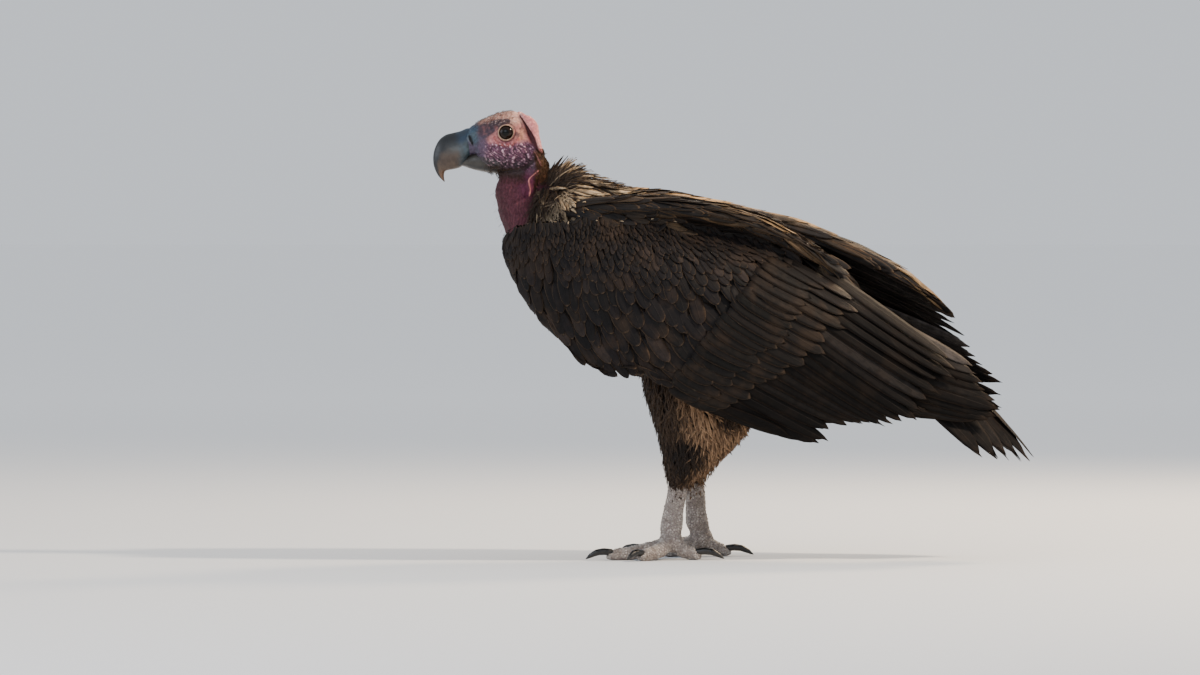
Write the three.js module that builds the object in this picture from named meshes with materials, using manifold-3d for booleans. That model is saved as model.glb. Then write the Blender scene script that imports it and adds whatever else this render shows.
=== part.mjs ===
// A lappet-faced vulture standing at rest with folded wings, life size, in millimetres, +Z up.
// The bill points to -X, the tail to +X, the bird's left side to -Y; the floor is z = 0.
// Flesh is divided into head, neck, trunk, wing and leg pieces; flight feathers are thin plates
// with one stepped tip for each feather.

import * as THREE from 'three';
import { mergeVertices } from 'three/addons/utils/BufferGeometryUtils.js';
import Module from 'manifold-3d';

const wasm = await Module();
wasm.setup();

// ---- Driving dimensions ----------------------------------------------------------------------
const GAP = 0.3;                 // clearance between neighbouring pieces
const SLIVER = 0.04;             // thinner triangles are merged into their neighbours
const LEFT = -1;                 // the bird's left side lies at -Y
const RIGHT = 1;
const EYE_RADIUS = 13.5;         // the whole eyeball
const EYE_CENTRE = [-343.7, 33, 638.4];
const LEG_SPACING = 62;          // from the middle plane to the middle of each foot
const RIGHT_LEG_SHIFT = 46;      // the right foot stands this much further back
const TAIL_FEATHERS = 12;
const TAIL_ROOT = [150, 402];    // x and z of the central tail feathers' roots
const TAIL_TIP = [453, 163];     // and of their tips
const PLATE_THICKNESS = 7;       // a fan of stacked flight feathers at its root
const TIP_THICKNESS = 1.6;       // the same fan at the feather tips
const BIG = 2000;                // larger than the bird, for cutting blocks

const COLOUR = {
  plumage: 0x3a3029,
  mantle: 0x4d3b2c,
  flight: 0x2b2724,
  ruff: 0x6f5a44,
  thigh: 0x6b4a33,
  face: 0xb4787c,
  lappet: 0xd98a86,
  throat: 0x6b3a42,
  cere: 0x566b7c,
  horn: 0x3c4448,
  scale: 0xa39a92,
  claw: 0x1d1b1a,
  eye: 0x120d0a,
};

// ---- Helpers ---------------------------------------------------------------------------------
const lerp = THREE.MathUtils.lerp;

// Uniform Catmull-Rom through rows of numbers; t runs from 0 to 1 over the whole list.
function spline(rows, t) {
  const last = rows.length - 1;
  const s = THREE.MathUtils.clamp(t, 0, 1) * last;
  const i = Math.min(Math.floor(s), last - 1);
  const f = s - i;
  const [a, b, c, d] = [i - 1, i, i + 1, i + 2].map((k) => rows[THREE.MathUtils.clamp(k, 0, last)]);
  return b.map((_, k) => {
    const slopeIn = (c[k] - a[k]) / 2;
    const slopeOut = (d[k] - b[k]) / 2;
    const rise = b[k] - c[k];
    return ((2 * rise + slopeIn + slopeOut) * f - 3 * rise - 2 * slopeIn - slopeOut) * f * f
      + slopeIn * f + b[k];
  });
}

// Value of a table of [x, value] rows at x, by straight lines.
function table(rows, x) {
  if (x <= rows[0][0]) return rows[0][1];
  for (let i = 1; i < rows.length; i += 1) {
    const [x1, v1] = rows[i];
    const [x0, v0] = rows[i - 1];
    if (x <= x1) return lerp(v0, v1, (x - x0) / (x1 - x0));
  }
  return rows[rows.length - 1][1];
}

// A closed body through rings of points, with a fan at each end.
function ringBody(rings) {
  const sides = rings[0].length;
  const vertices = rings.flat();
  const middle = (ring) => [0, 1, 2].map((k) => ring.reduce((sum, p) => sum + p[k], 0) / sides);
  vertices.push(middle(rings[0]), middle(rings[rings.length - 1]));
  const faces = [];
  const last = (rings.length - 1) * sides;
  for (let j = 0; j < sides; j += 1) {
    const k = (j + 1) % sides;
    faces.push([vertices.length - 2, k, j], [vertices.length - 1, last + j, last + k]);
    for (let i = 0; i < rings.length - 1; i += 1) {
      const a = i * sides;
      const b = a + sides;
      faces.push([a + j, a + k, b + k], [a + j, b + k, b + j]);
    }
  }
  return closedBody(vertices, faces);
}

// A manifold from points and faces, turned so that its faces look outward.
function closedBody(vertices, faces) {
  let volume = 0;
  for (const [a, b, c] of faces) {
    const [p, q, r] = [a, b, c].map((i) => new THREE.Vector3(...vertices[i]));
    volume += p.dot(q.cross(r));
  }
  const order = volume > 0 ? faces : faces.map(([a, b, c]) => [a, c, b]);
  const geometry = new THREE.BufferGeometry();
  geometry.setAttribute('position', new THREE.Float32BufferAttribute(vertices.flat(), 3));
  geometry.setIndex(order.flat());
  return solid(geometry);
}

// A three.js geometry as a manifold, for cutting and joining.
function solid(geometry) {
  const plain = geometry.clone();
  plain.deleteAttribute('normal');
  plain.deleteAttribute('uv');
  const merged = mergeVertices(plain, 1e-4);
  return new wasm.Manifold(new wasm.Mesh({
    numProp: 3,
    vertProperties: new Float32Array(merged.attributes.position.array),
    triVerts: new Uint32Array(merged.index.array),
  }));
}

// A body between an upper and a lower line in the middle plane. Each station holds
// x and z of the upper point, x and z of the lower point, the half width and the middle's y.
function profileBody(stations, { sides, steps, grow = 0, fullness = 1 }) {
  const rings = [];
  for (let i = 0; i <= steps; i += 1) {
    const [xa, za, xb, zb, wide, y = 0] = spline(stations, i / steps);
    const along = endPush(stations, i, steps, grow);
    const half = Math.hypot(xa - xb, za - zb) / 2;
    const [ux, uz] = [(xa - xb) / (2 * half), (za - zb) / (2 * half)];
    const ring = [];
    for (let j = 0; j < sides; j += 1) {
      const angle = (2 * Math.PI * j) / sides;
      const round = (v) => Math.sign(v) * Math.abs(v) ** fullness;
      const up = (half + grow) * round(Math.cos(angle));
      ring.push([
        (xa + xb) / 2 + ux * up + along[0],
        y + (wide + grow) * round(Math.sin(angle)),
        (za + zb) / 2 + uz * up + along[1],
      ]);
    }
    rings.push(ring);
  }
  return ringBody(rings);
}

// How far a grown body's first and last rings move outward along its path.
function endPush(stations, i, steps, grow) {
  if (grow === 0 || (i !== 0 && i !== steps)) return [0, 0];
  const row = (k) => spline(stations, k / steps);
  const [here, inner] = i === 0 ? [row(0), row(1)] : [row(steps), row(steps - 1)];
  const dx = (here[0] + here[2] - inner[0] - inner[2]) / 2;
  const dz = (here[1] + here[3] - inner[1] - inner[3]) / 2;
  const length = Math.hypot(dx, dz);
  return [(grow * dx) / length, (grow * dz) / length];
}

// A round cord of changing radius; each station is x, y, z, radius.
function cordBody(stations, { sides, steps, grow = 0 }) {
  const rings = [];
  for (let i = 0; i <= steps; i += 1) {
    const t = i / steps;
    const [x, y, z, radius] = spline(stations, t);
    const before = new THREE.Vector3(...spline(stations, t - 0.01).slice(0, 3));
    const after = new THREE.Vector3(...spline(stations, t + 0.01).slice(0, 3));
    const along = after.sub(before).normalize();
    const across = new THREE.Vector3(0, 1, 0).cross(along).normalize();
    const third = along.clone().cross(across);
    const push = grow * (i === 0 ? -1 : Number(i === steps));
    const ring = [];
    for (let j = 0; j < sides; j += 1) {
      const angle = (2 * Math.PI * j) / sides;
      const p = new THREE.Vector3(x, y, z)
        .addScaledVector(across, (radius + grow) * Math.cos(angle))
        .addScaledVector(third, (radius + grow) * Math.sin(angle))
        .addScaledVector(along, push);
      ring.push(p.toArray());
    }
    rings.push(ring);
  }
  return ringBody(rings);
}

// A block on one side of a line in the XZ plane: the side to the right of a -> b stays.
function halfPlane([ax, az], [bx, bz], offset = 0) {
  const length = Math.hypot(bx - ax, bz - az);
  const [dx, dz] = [(bx - ax) / length, (bz - az) / length];
  const geometry = new THREE.BoxGeometry(BIG, BIG, BIG);
  geometry.translate(0, 0, -BIG / 2 - offset);
  geometry.rotateY(-Math.atan2(dz, dx));
  geometry.translate(ax, 0, az);
  return solid(geometry);
}

// The largest of the pieces that a cut leaves.
function largest(shape) {
  const pieces = shape.decompose();
  return pieces.reduce((best, piece) => (piece.volume() > best.volume() ? piece : best));
}

function carve(shape, ...cutters) {
  return largest(cutters.reduce((rest, cutter) => rest.subtract(cutter), shape));
}

// A steep or hollow shape grown by the gap: its copies moved up, down, in and out.
function cleared(shape) {
  return [[0, GAP, 0], [0, -GAP, 0], [0, 0, GAP], [0, 0, -GAP]]
    .reduce((sum, by) => sum.add(shape.translate(by)), shape);
}

const bird = new THREE.Group();

function add(name, shape, colour, roughness = 0.85) {
  const mesh = shape.simplify(SLIVER).getMesh();
  const geometry = new THREE.BufferGeometry();
  geometry.setAttribute('position', new THREE.Float32BufferAttribute(mesh.vertProperties, 3));
  geometry.setIndex(Array.from(mesh.triVerts));
  geometry.computeVertexNormals();
  const material = new THREE.MeshStandardMaterial({ color: colour, roughness, metalness: 0 });
  const piece = new THREE.Mesh(geometry, material);
  piece.name = name;
  bird.add(piece);
}

// ---- Trunk, neck and head --------------------------------------------------------------------
const TRUNK = [
  [-338, 462, -336, 440, 14],
  [-330, 490, -322, 400, 58],
  [-300, 512, -292, 352, 92],
  [-240, 546, -232, 306, 108],
  [-160, 559, -150, 272, 114],
  [-80, 549, -70, 252, 112],
  [0, 528, 0, 248, 102],
  [70, 500, 60, 262, 84],
  [130, 464, 112, 286, 62],
  [176, 424, 158, 304, 40],
  [192, 392, 186, 330, 18],
];
const NECK = [
  [-270, 500, -336, 470, 50],
  [-276, 534, -350, 500, 46],
  [-282, 556, -358, 528, 40],
  [-286, 572, -359, 553, 35],
  [-289, 590, -353, 574, 33],
  [-296, 612, -350, 592, 30],
];
const HEAD = [
  [-287, 600, -287, 592, 8],
  [-292, 626, -289, 587, 24],
  [-303, 650, -296, 582, 36],
  [-318, 665, -313, 577, 43],
  [-336, 671.5, -334, 576, 45.5],
  [-354, 669, -352, 576, 42],
  [-370, 663, -368, 580, 34],
  [-384, 656, -382, 583, 26],
  [-388, 653, -386, 585, 22],
];
const CERE = [
  [-383, 656.5, -383, 605, 24.5],
  [-390, 652.5, -389, 603, 23],
  [-399, 647, -398, 600, 22],
  [-407, 643, -407, 597, 21],
];
const BILL_UPPER = [
  [-404, 644.5, -402, 598, 21.4],
  [-418, 638.5, -409, 590, 20],
  [-436, 632, -418, 586.5, 17.5],
  [-447.5, 619, -427, 583.5, 14.5],
  [-451, 603, -433.5, 582, 11],
  [-449, 587, -436.5, 579, 7.5],
  [-443, 575, -436.5, 573, 4.4],
  [-435, 567, -433.8, 567.4, 1.2],
];
const BILL_LOWER = [
  [-372, 604.5, -370, 576, 22],
  [-385, 604.5, -384, 577, 20.5],
  [-400, 600, -398, 581, 18],
  [-414, 594, -410, 587.4, 13],
  [-421, 590.5, -420, 588, 6],
];
const RUFF = [
  [-326, 520, -320, 470, 24],
  [-312, 548, -304, 460, 62],
  [-288, 578, -284, 456, 84],
  [-262, 592, -258, 456, 94],
  [-236, 588, -232, 460, 96],
  [-206, 576, -202, 470, 88],
  [-166, 563, -164, 500, 56],
];

const trunk = (grow = 0) => profileBody(TRUNK, { sides: 14, steps: 13, grow, fullness: 0.94 });
const neck = (grow = 0) => profileBody(NECK, { sides: 12, steps: 6, grow });
const head = (grow = 0) => profileBody(HEAD, { sides: 14, steps: 10, grow });
const cere = (grow = 0) => profileBody(CERE, { sides: 12, steps: 3, grow });
const billUpper = (grow = 0) => profileBody(BILL_UPPER, { sides: 10, steps: 9, grow });
const ruff = (grow = 0) => profileBody(RUFF, { sides: 10, steps: 7, grow });

function eyeball(side, grow = 0) {
  const geometry = new THREE.SphereGeometry(EYE_RADIUS + grow, 10, 6);
  geometry.translate(EYE_CENTRE[0], side * EYE_CENTRE[1], EYE_CENTRE[2]);
  return solid(geometry);
}

// The fold of bare skin from the crown down behind the face to the side of the neck.
function lappet(side, grow = 0) {
  return cordBody([
    [-322, side * 20, 663, 5],
    [-306, side * 33, 654, 8],
    [-296, side * 36, 634, 9],
    [-292, side * 36, 606, 8],
    [-304, side * 37, 578, 7],
    [-313, side * 40, 548, 6],
  ], { sides: 6, steps: 7, grow });
}

add('trunk', trunk(), COLOUR.plumage);
add('head', carve(head(), eyeball(LEFT, GAP), eyeball(RIGHT, GAP)), COLOUR.face);
add('neck', carve(neck(), trunk(GAP), head(GAP)), COLOUR.throat);
add('ruff', carve(ruff(), trunk(GAP), neck(GAP), lappet(LEFT, GAP), lappet(RIGHT, GAP)),
  COLOUR.ruff);
add('cere', carve(cere(), head(GAP)), COLOUR.cere, 0.5);
add('bill_upper', carve(billUpper(), cere(GAP), head(GAP)), COLOUR.horn, 0.35);
add('bill_lower', carve(profileBody(BILL_LOWER, { sides: 8, steps: 5 }),
  head(GAP), cere(GAP), billUpper(GAP)), COLOUR.horn, 0.4);
for (const [name, side] of [['left', LEFT], ['right', RIGHT]]) {
  add(`eye_${name}`, eyeball(side), COLOUR.eye, 0.05);
  add(`lappet_${name}`, carve(lappet(side), head(GAP), neck(GAP), trunk(GAP)), COLOUR.lappet);
}

// ---- Tail --------------------------------------------------------------------------------------
// A grid of columns, each from a root to a tip, made a plate with a thin free edge. A plate that
// serves as a cutter is made proud of its outer face and a gap deeper than its inner one.
function plateBody(columns, { rows, inward, proud = 0, grow = 0 }) {
  const outer = [];
  const inner = [];
  for (const { root, tip } of columns) {
    for (let r = 0; r <= rows; r += 1) {
      const t = r / rows;
      const face = columns.surface(root.map((v, k) => lerp(v, tip[k], t)));
      const depth = lerp(PLATE_THICKNESS, TIP_THICKNESS, t) + grow;
      outer.push(face.map((v, k) => v - inward[k] * proud));
      inner.push(face.map((v, k) => v + inward[k] * depth));
    }
  }
  const count = columns.length;
  const wide = rows + 1;
  const total = outer.length;
  const faces = [];
  const quad = (a, b, c, d) => faces.push([a, b, c], [a, c, d]);
  for (let i = 0; i < count - 1; i += 1) {
    for (let r = 0; r < rows; r += 1) {
      const a = i * wide + r;
      quad(a, a + 1, a + 1 + wide, a + wide);
      quad(total + a, total + a + wide, total + a + 1 + wide, total + a + 1);
    }
    const root = i * wide;
    const tip = root + rows;
    quad(root, root + wide, total + root + wide, total + root);
    quad(tip, total + tip, total + tip + wide, tip + wide);
  }
  for (let r = 0; r < rows; r += 1) {
    const far = (count - 1) * wide + r;
    quad(r, total + r, total + r + 1, r + 1);
    quad(far, far + 1, total + far + 1, total + far);
  }
  return closedBody([...outer, ...inner], faces);
}

// Columns for a row of feathers: each feather ends in a point, with a notch between two.
function featherColumns(roots, tips, notch) {
  const columns = [];
  tips.forEach((tip, i) => {
    columns.push({ root: roots[i], tip });
    if (i === tips.length - 1) return;
    const root = roots[i].map((v, k) => (v + roots[i + 1][k]) / 2);
    const end = tip.map((v, k) => lerp((v + tips[i + 1][k]) / 2, root[k], notch));
    columns.push({ root, tip: end });
  });
  return columns;
}

const ROOT_HALF_WIDTH = 34;
const TIP_HALF_WIDTH = 96;
const ROOT_DROP = 62;            // the outer feathers' roots lie this much lower than the middle
const WEDGE = 92;                // and their tips this much further forward
const TIP_SAG = 16;              // the tips between the middle and the outer ones hang lower
const RAGGED = 5;                // uneven lengths, from wear
const CROWN = 26;                // the roof rises this much above a straight line to the tips
const CROWN_HALF_WIDTH = 80;
const TAIL_INWARD = [-0.6, 0, -0.8];

function tailPlate() {
  const roots = [];
  const tips = [];
  for (let i = 0; i < TAIL_FEATHERS; i += 1) {
    const a = (2 * i) / (TAIL_FEATHERS - 1) - 1;
    const ragged = RAGGED * Math.sin(7 * i);
    roots.push([TAIL_ROOT[0] - 8 * a * a, ROOT_HALF_WIDTH * a, TAIL_ROOT[1] - ROOT_DROP * a * a]);
    tips.push([
      TAIL_TIP[0] - WEDGE * Math.abs(a) ** 1.6 + ragged,
      TIP_HALF_WIDTH * a,
      TAIL_TIP[1] - TIP_SAG * Math.sin(Math.PI * Math.abs(a)) + 2 * a * a - ragged / 2,
    ]);
  }
  const columns = featherColumns(roots, tips, 0.045);
  columns.surface = ([x, y, z]) => {
    const t = THREE.MathUtils.inverseLerp(TAIL_ROOT[0], TAIL_TIP[0], x);
    const along = Math.sin(Math.PI * THREE.MathUtils.clamp(t, 0, 1));
    return [x, y, z + CROWN * along * (1 - (y / CROWN_HALF_WIDTH) ** 2)];
  };
  return plateBody(columns, { rows: 3, inward: TAIL_INWARD });
}

// ---- Wings -------------------------------------------------------------------------------------
// Half width of the folded wing, and the height of its widest line, along the body.
const HALF_WIDTH = [
  [-352, 98], [-335, 122], [-300, 143], [-220, 162], [-120, 168], [-20, 163],
  [80, 146], [160, 126], [240, 106], [320, 90], [410, 74],
];
const WIDEST_LINE = [[-352, 470], [-250, 420], [-100, 392], [50, 350], [200, 276], [400, 192]];
const NEAREST_MIDDLE = 16;       // the upper edges of the two wings keep this far from y = 0

// Above the widest line the wing closes over the back; below it, it hangs nearly straight.
function sideSurface(x, z, inset) {
  const rise = (z - table(WIDEST_LINE, x)) / 100;
  const turnIn = rise > 0 ? 26 * rise ** 2 + 10 * rise ** 4 : 9 * rise ** 2;
  return Math.max(table(HALF_WIDTH, x) - turnIn, NEAREST_MIDDLE) - inset;
}

// Shell of the folded wing: x, top edge, bottom edge, thickness.
const WING_SHELL = [
  [-351, 480, 462, 20],
  [-346, 494, 446, 34],
  [-332, 504, 416, 44],
  [-306, 510, 376, 50],
  [-275, 513, 340, 50],
  [-240, 515, 302, 46],
  [-205, 516, 284, 42],
  [-188, 517, 281, 40],
  [-170, 517, 291, 40],
  [-140, 518, 280, 40],
  [-90, 519, 264, 38],
  [-30, 520, 236, 36],
  [30, 514, 214, 32],
  [90, 478, 196, 28],
  [140, 430, 190, 24],
];
const SHELL_POINTS = 6;          // points up each face of the shell
const SHELL_STEPS = 14;          // and rings along it
const EDGE_THICKNESS = 5;        // of its upper and lower edges
const LIFT = { left: 0, right: 12 };    // the right wing is carried this much higher at its rear
const LIFT_RANGE = [-200, 100];         // the rise grows between these two x

function wingShell(name, side) {
  const rings = [];
  for (let i = 0; i <= SHELL_STEPS; i += 1) {
    const [x, top, bottom, thick] = spline(WING_SHELL, i / SHELL_STEPS);
    const rise = LIFT[name] * THREE.MathUtils.smoothstep(x, ...LIFT_RANGE);
    const outer = [];
    const inner = [];
    for (let j = 0; j < SHELL_POINTS; j += 1) {
      const t = j / (SHELL_POINTS - 1);
      const z = lerp(bottom, top, t);
      const y = sideSurface(x, z, 0);
      const round = Math.sqrt(Math.max(0, 1 - (2 * t - 1) ** 4));
      outer.push([x, side * y, z + rise]);
      inner.unshift([x, side * (y - lerp(EDGE_THICKNESS, thick, round)), z + rise]);
    }
    rings.push([...outer, ...inner]);
  }
  return ringBody(rings);
}

// Where the coverts end and the flight feathers begin, and how the shell is divided.
const COVERT_EDGE = [[-96, 240], [112, 462]];
const HAND_EDGE = [[-360, 434], [-168, 318]];
const ARM_EDGE = [[-168, 200], [-120, 600]];

// Feather tips of one wing, from the innermost down to the lowest: x, z.
const SECONDARY_TIPS = {
  left: [[322, 300], [334, 276], [318, 255], [296, 235], [270, 216], [250, 204], [222, 202],
    [190, 208], [160, 204], [140, 178], [110, 178], [80, 186]],
  right: [[348, 332], [344, 308], [326, 282], [300, 256], [276, 236], [250, 220], [222, 214],
    [190, 212], [160, 206], [138, 188], [108, 184], [78, 190]],
};
const PRIMARY_TIPS = {
  left: [[352, 292], [376, 262], [392, 236], [398, 210], [366, 206], [296, 220]],
  right: [[354, 318], [376, 288], [400, 262], [406, 222], [372, 212], [298, 224]],
};

function wingFan(side, tips, { rootHigh, rootLow, inset, notch }, cutter = {}) {
  const last = tips.length - 1;
  const roots = tips.map((_, i) => [
    lerp(rootHigh[0], rootLow[0], i / last),
    0,
    lerp(rootHigh[1], rootLow[1], i / last),
  ]);
  const ends = tips.map(([x, z]) => [x, 0, z]);
  const columns = featherColumns(roots, ends, notch);
  columns.surface = ([x, , z]) => [x, side * sideSurface(x, z, inset), z];
  return plateBody(columns, { rows: 3, inward: [0, -side, 0], ...cutter });
}

// The long shoulder feathers that bridge the wing's upper edge and the back. On the raised right
// wing the innermost flight feathers carry this line on to a tip of their own.
const SCAPULARS = {
  left: [
    [-262, 528, -262, 508, 10, 88],
    [-220, 545, -226, 510, 24, 96],
    [-140, 548, -146, 510, 32, 98],
    [-50, 540, -56, 504, 33, 94],
    [30, 520, 22, 486, 28, 84],
    [92, 488, 84, 460, 20, 74],
    [140, 452, 134, 436, 8, 66],
  ],
  right: [
    [-262, 530, -262, 508, 10, 88],
    [-200, 560, -204, 512, 26, 92],
    [-110, 554, -116, 512, 34, 88],
    [-10, 534, -18, 500, 36, 78],
    [90, 511, 80, 474, 33, 64],
    [190, 470, 178, 430, 28, 52],
    [262, 432, 252, 402, 20, 46],
    [312, 379, 306, 373, 6, 48],
  ],
};

for (const [name, side] of [['left', LEFT], ['right', RIGHT]]) {
  const feathered = wingShell(name, side).intersect(halfPlane(COVERT_EDGE[1], COVERT_EDGE[0]));
  const body = feathered.subtract(trunk(GAP)).subtract(ruff(GAP)).subtract(neck(GAP));
  const lower = halfPlane(...HAND_EDGE);
  const behind = halfPlane(...ARM_EDGE);
  add(`wing_hand_${name}`, largest(body.intersect(halfPlane(...HAND_EDGE, GAP)).subtract(behind)),
    COLOUR.plumage);
  add(`wing_arm_${name}`, largest(body.subtract(lower).subtract(behind)), COLOUR.plumage);
  add(`wing_coverts_${name}`, largest(body.intersect(halfPlane(...ARM_EDGE, GAP))),
    COLOUR.plumage);
}

// Roots of the flight feathers, from the highest to the lowest, how far inside the wing's outer
// surface they lie, and the depth of the notches between their tips.
const SECONDARY_FAN = {
  left: { rootHigh: [96, 462], rootLow: [-84, 248], inset: 0, notch: 0.05 },
  right: { rootHigh: [106, 482], rootLow: [-84, 248], inset: 0, notch: 0.05 },
};
const PRIMARY_FAN = { rootHigh: [150, 400], rootLow: [20, 262], inset: 10, notch: 0.06 };
const secondaries = (name, side, cutter) => (
  wingFan(side, SECONDARY_TIPS[name], SECONDARY_FAN[name], cutter));
const primaries = (name, side, cutter) => wingFan(side, PRIMARY_TIPS[name], PRIMARY_FAN, cutter);
const scapulars = (name, side, grow = 0) => profileBody(
  SCAPULARS[name].map(([xa, za, xb, zb, wide, y]) => [xa, za, xb, zb, wide, side * y]),
  { sides: 8, steps: 7, grow },
);

for (const [name, side] of [['left', LEFT], ['right', RIGHT]]) {
  const shell = cleared(wingShell(name, side))
    .intersect(halfPlane(COVERT_EDGE[1], COVERT_EDGE[0], -GAP));
  add(`secondaries_${name}`, carve(secondaries(name, side), trunk(GAP), shell), COLOUR.flight);
  add(`primaries_${name}`, carve(primaries(name, side), trunk(GAP), shell), COLOUR.flight);
  add(`scapulars_${name}`, carve(scapulars(name, side), trunk(GAP), ruff(GAP), shell,
    secondaries(name, side, { proud: 1, grow: GAP })), COLOUR.mantle);
}
const BOTH_FACES = { proud: GAP, grow: GAP };
add('tail', carve(tailPlate(), trunk(GAP), primaries('left', LEFT, BOTH_FACES),
  primaries('right', RIGHT, BOTH_FACES)), COLOUR.flight);

// ---- Legs and feet -----------------------------------------------------------------------------
const THIGH = [
  [-140, 330, 70, 330, 40, 58],
  [-146, 270, 44, 262, 50, 64],
  [-134, 228, 22, 206, 47, 67],
  [-120, 187, 2, 176, 40, 66],
  [-114, 158, -26, 152, 31, 64],
  [-109, 130, -46, 132, 24, 62],
  [-103, 112, -72, 112, 17, 62],
];
const TARSUS = [
  [-102, 116, -74, 115, 12.5, 62],
  [-104, 98, -74, 98, 11.5, 62],
  [-110, 72, -79, 72, 11.5, 62],
  [-115, 48, -80, 50, 14, 62],
  [-113, 34, -84, 34, 13, 62],
];
const FOOT_CENTRE = [-98, 27];          // x and z of the joint above the toes
const FOOT_RADIUS = 19;
// Length without the claw, girth at the root, claw length and heading from straight ahead,
// turned outward.
const TOES = {
  inner: { length: 62, girth: 13, claw: 34, heading: -24 },
  middle: { length: 98, girth: 12.5, claw: 34, heading: 12 },
  outer: { length: 72, girth: 11.5, claw: 28, heading: 48 },
  hind: { length: 46, girth: 12.5, claw: 36, heading: 172 },
};

// A toe straight ahead along +X from the joint, arched, its underside a little below the floor.
function toeStations({ length, girth }) {
  const knuckle = 0.36 * length;
  return [
    [6, 34, 6, 14, girth],
    [knuckle, 27, knuckle - 4, 3, girth * 0.92],
    [0.68 * length, 20, 0.68 * length - 2, -1, girth * 0.8],
    [length - 6, 17, length - 7, -1, girth * 0.74],
    [length, 12, length, 2, girth * 0.5],
  ];
}

function clawStations({ length, girth, claw }) {
  return [
    [length - 9, 17.5, length - 11, 5, girth * 0.52],
    [length + 0.3 * claw, 19, length + 0.2 * claw, 8, girth * 0.48],
    [length + 0.72 * claw, 13, length + 0.56 * claw, 5, girth * 0.32],
    [length + claw, 2, length + 0.88 * claw, 1.6, girth * 0.1],
  ];
}

function onFoot(shape, heading, side, shift) {
  const turned = 180 + side * -heading;
  return shape.rotate([0, 0, turned]).translate([FOOT_CENTRE[0] + shift, side * LEG_SPACING, 0]);
}

function legPiece(stations, side, shift, options) {
  const rows = stations.map(([xa, za, xb, zb, wide, y]) => (
    [xa + shift, za, xb + shift, zb, wide, side * y]));
  return profileBody(rows, options);
}

// Stations moved back more and more towards the lower end.
function leaning(stations, back, bend = 1) {
  return stations.map(([xa, za, xb, zb, wide, y], i) => {
    const by = back * (i / (stations.length - 1)) ** bend;
    return [xa + by, za, xb + by, zb, wide, y];
  });
}

const floor = solid(new THREE.BoxGeometry(BIG, BIG, BIG).translate(0, 0, -BIG / 2));

// What cuts the thigh away outside the flight feathers and just under their lower edge.
const OUTWARD = { proud: 80, grow: GAP };
const andBelow = (plate) => plate.add(plate.translate([0, 0, -GAP]));

for (const [name, side, shift] of [['left', LEFT, 0], ['right', RIGHT, RIGHT_LEG_SHIFT]]) {
  const lean = shift / 2;          // how far back the ankle stands
  const thigh = (grow) => legPiece(leaning(THIGH, lean, 3), side, 0, { sides: 11, steps: 7, grow });
  const tarsus = (grow) => (
    legPiece(leaning(TARSUS, shift - lean), side, lean, { sides: 8, steps: 4, grow }));
  const pad = (grow) => onFoot(solid(
    new THREE.SphereGeometry(FOOT_RADIUS + grow, 10, 7).scale(1, 0.9, 0.9)
      .translate(0, 0, FOOT_CENTRE[1])), 0, side, shift);
  add(`thigh_${name}`, carve(thigh(0), trunk(GAP),
    cleared(wingShell(name, side)),
    andBelow(secondaries(name, side, OUTWARD)), andBelow(primaries(name, side, OUTWARD))),
  COLOUR.thigh);
  add(`tarsus_${name}`, carve(tarsus(0), thigh(GAP), pad(GAP)), COLOUR.scale, 0.7);
  add(`foot_${name}`, carve(pad(0), floor), COLOUR.scale, 0.7);
  const others = [];
  for (const [toe, size] of Object.entries(TOES)) {
    const turn = (shape) => onFoot(shape, size.heading, side, shift);
    const piece = turn(profileBody(toeStations(size), { sides: 7, steps: 4 }));
    const claw = (grow) => turn(profileBody(clawStations(size), { sides: 6, steps: 4, grow }));
    const cut = carve(piece, pad(GAP), floor, claw(GAP), ...others);
    add(`toe_${toe}_${name}`, cut, COLOUR.scale, 0.7);
    add(`claw_${toe}_${name}`, carve(claw(0), floor), COLOUR.claw, 0.35);
    others.push(turn(profileBody(toeStations(size), { sides: 7, steps: 4, grow: GAP })));
  }
}

// The origin is the middle of the whole bird's box, on the floor.
const box = new THREE.Box3().setFromObject(bird);
const middle = box.getCenter(new THREE.Vector3());
bird.position.set(-middle.x, -middle.y, -box.min.z);

export default bird;
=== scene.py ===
import itertools
import math

import bmesh
import bpy
import numpy as np
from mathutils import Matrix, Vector, noise
from mathutils.bvhtree import BVHTree


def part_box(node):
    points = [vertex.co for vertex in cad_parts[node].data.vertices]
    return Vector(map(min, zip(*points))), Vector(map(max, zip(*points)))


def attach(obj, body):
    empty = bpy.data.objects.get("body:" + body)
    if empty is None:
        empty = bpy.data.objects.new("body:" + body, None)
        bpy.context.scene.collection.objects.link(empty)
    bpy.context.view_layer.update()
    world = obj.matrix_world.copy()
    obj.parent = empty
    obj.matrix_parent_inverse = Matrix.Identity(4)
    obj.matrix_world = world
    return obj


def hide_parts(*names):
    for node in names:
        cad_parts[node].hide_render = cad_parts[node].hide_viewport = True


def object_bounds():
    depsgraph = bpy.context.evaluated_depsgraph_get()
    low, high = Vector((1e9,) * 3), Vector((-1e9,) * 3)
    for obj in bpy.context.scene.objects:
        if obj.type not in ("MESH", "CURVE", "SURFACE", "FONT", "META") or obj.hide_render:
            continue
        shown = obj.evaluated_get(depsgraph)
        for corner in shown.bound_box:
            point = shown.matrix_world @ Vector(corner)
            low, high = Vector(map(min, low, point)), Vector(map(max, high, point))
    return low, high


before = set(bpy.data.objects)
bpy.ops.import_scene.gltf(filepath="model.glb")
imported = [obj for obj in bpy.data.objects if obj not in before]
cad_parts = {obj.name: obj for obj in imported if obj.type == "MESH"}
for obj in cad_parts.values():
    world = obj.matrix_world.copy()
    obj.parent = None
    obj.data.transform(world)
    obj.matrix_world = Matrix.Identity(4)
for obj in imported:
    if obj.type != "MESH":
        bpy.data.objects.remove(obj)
cad_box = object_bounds()
scene = bpy.context.scene

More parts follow.
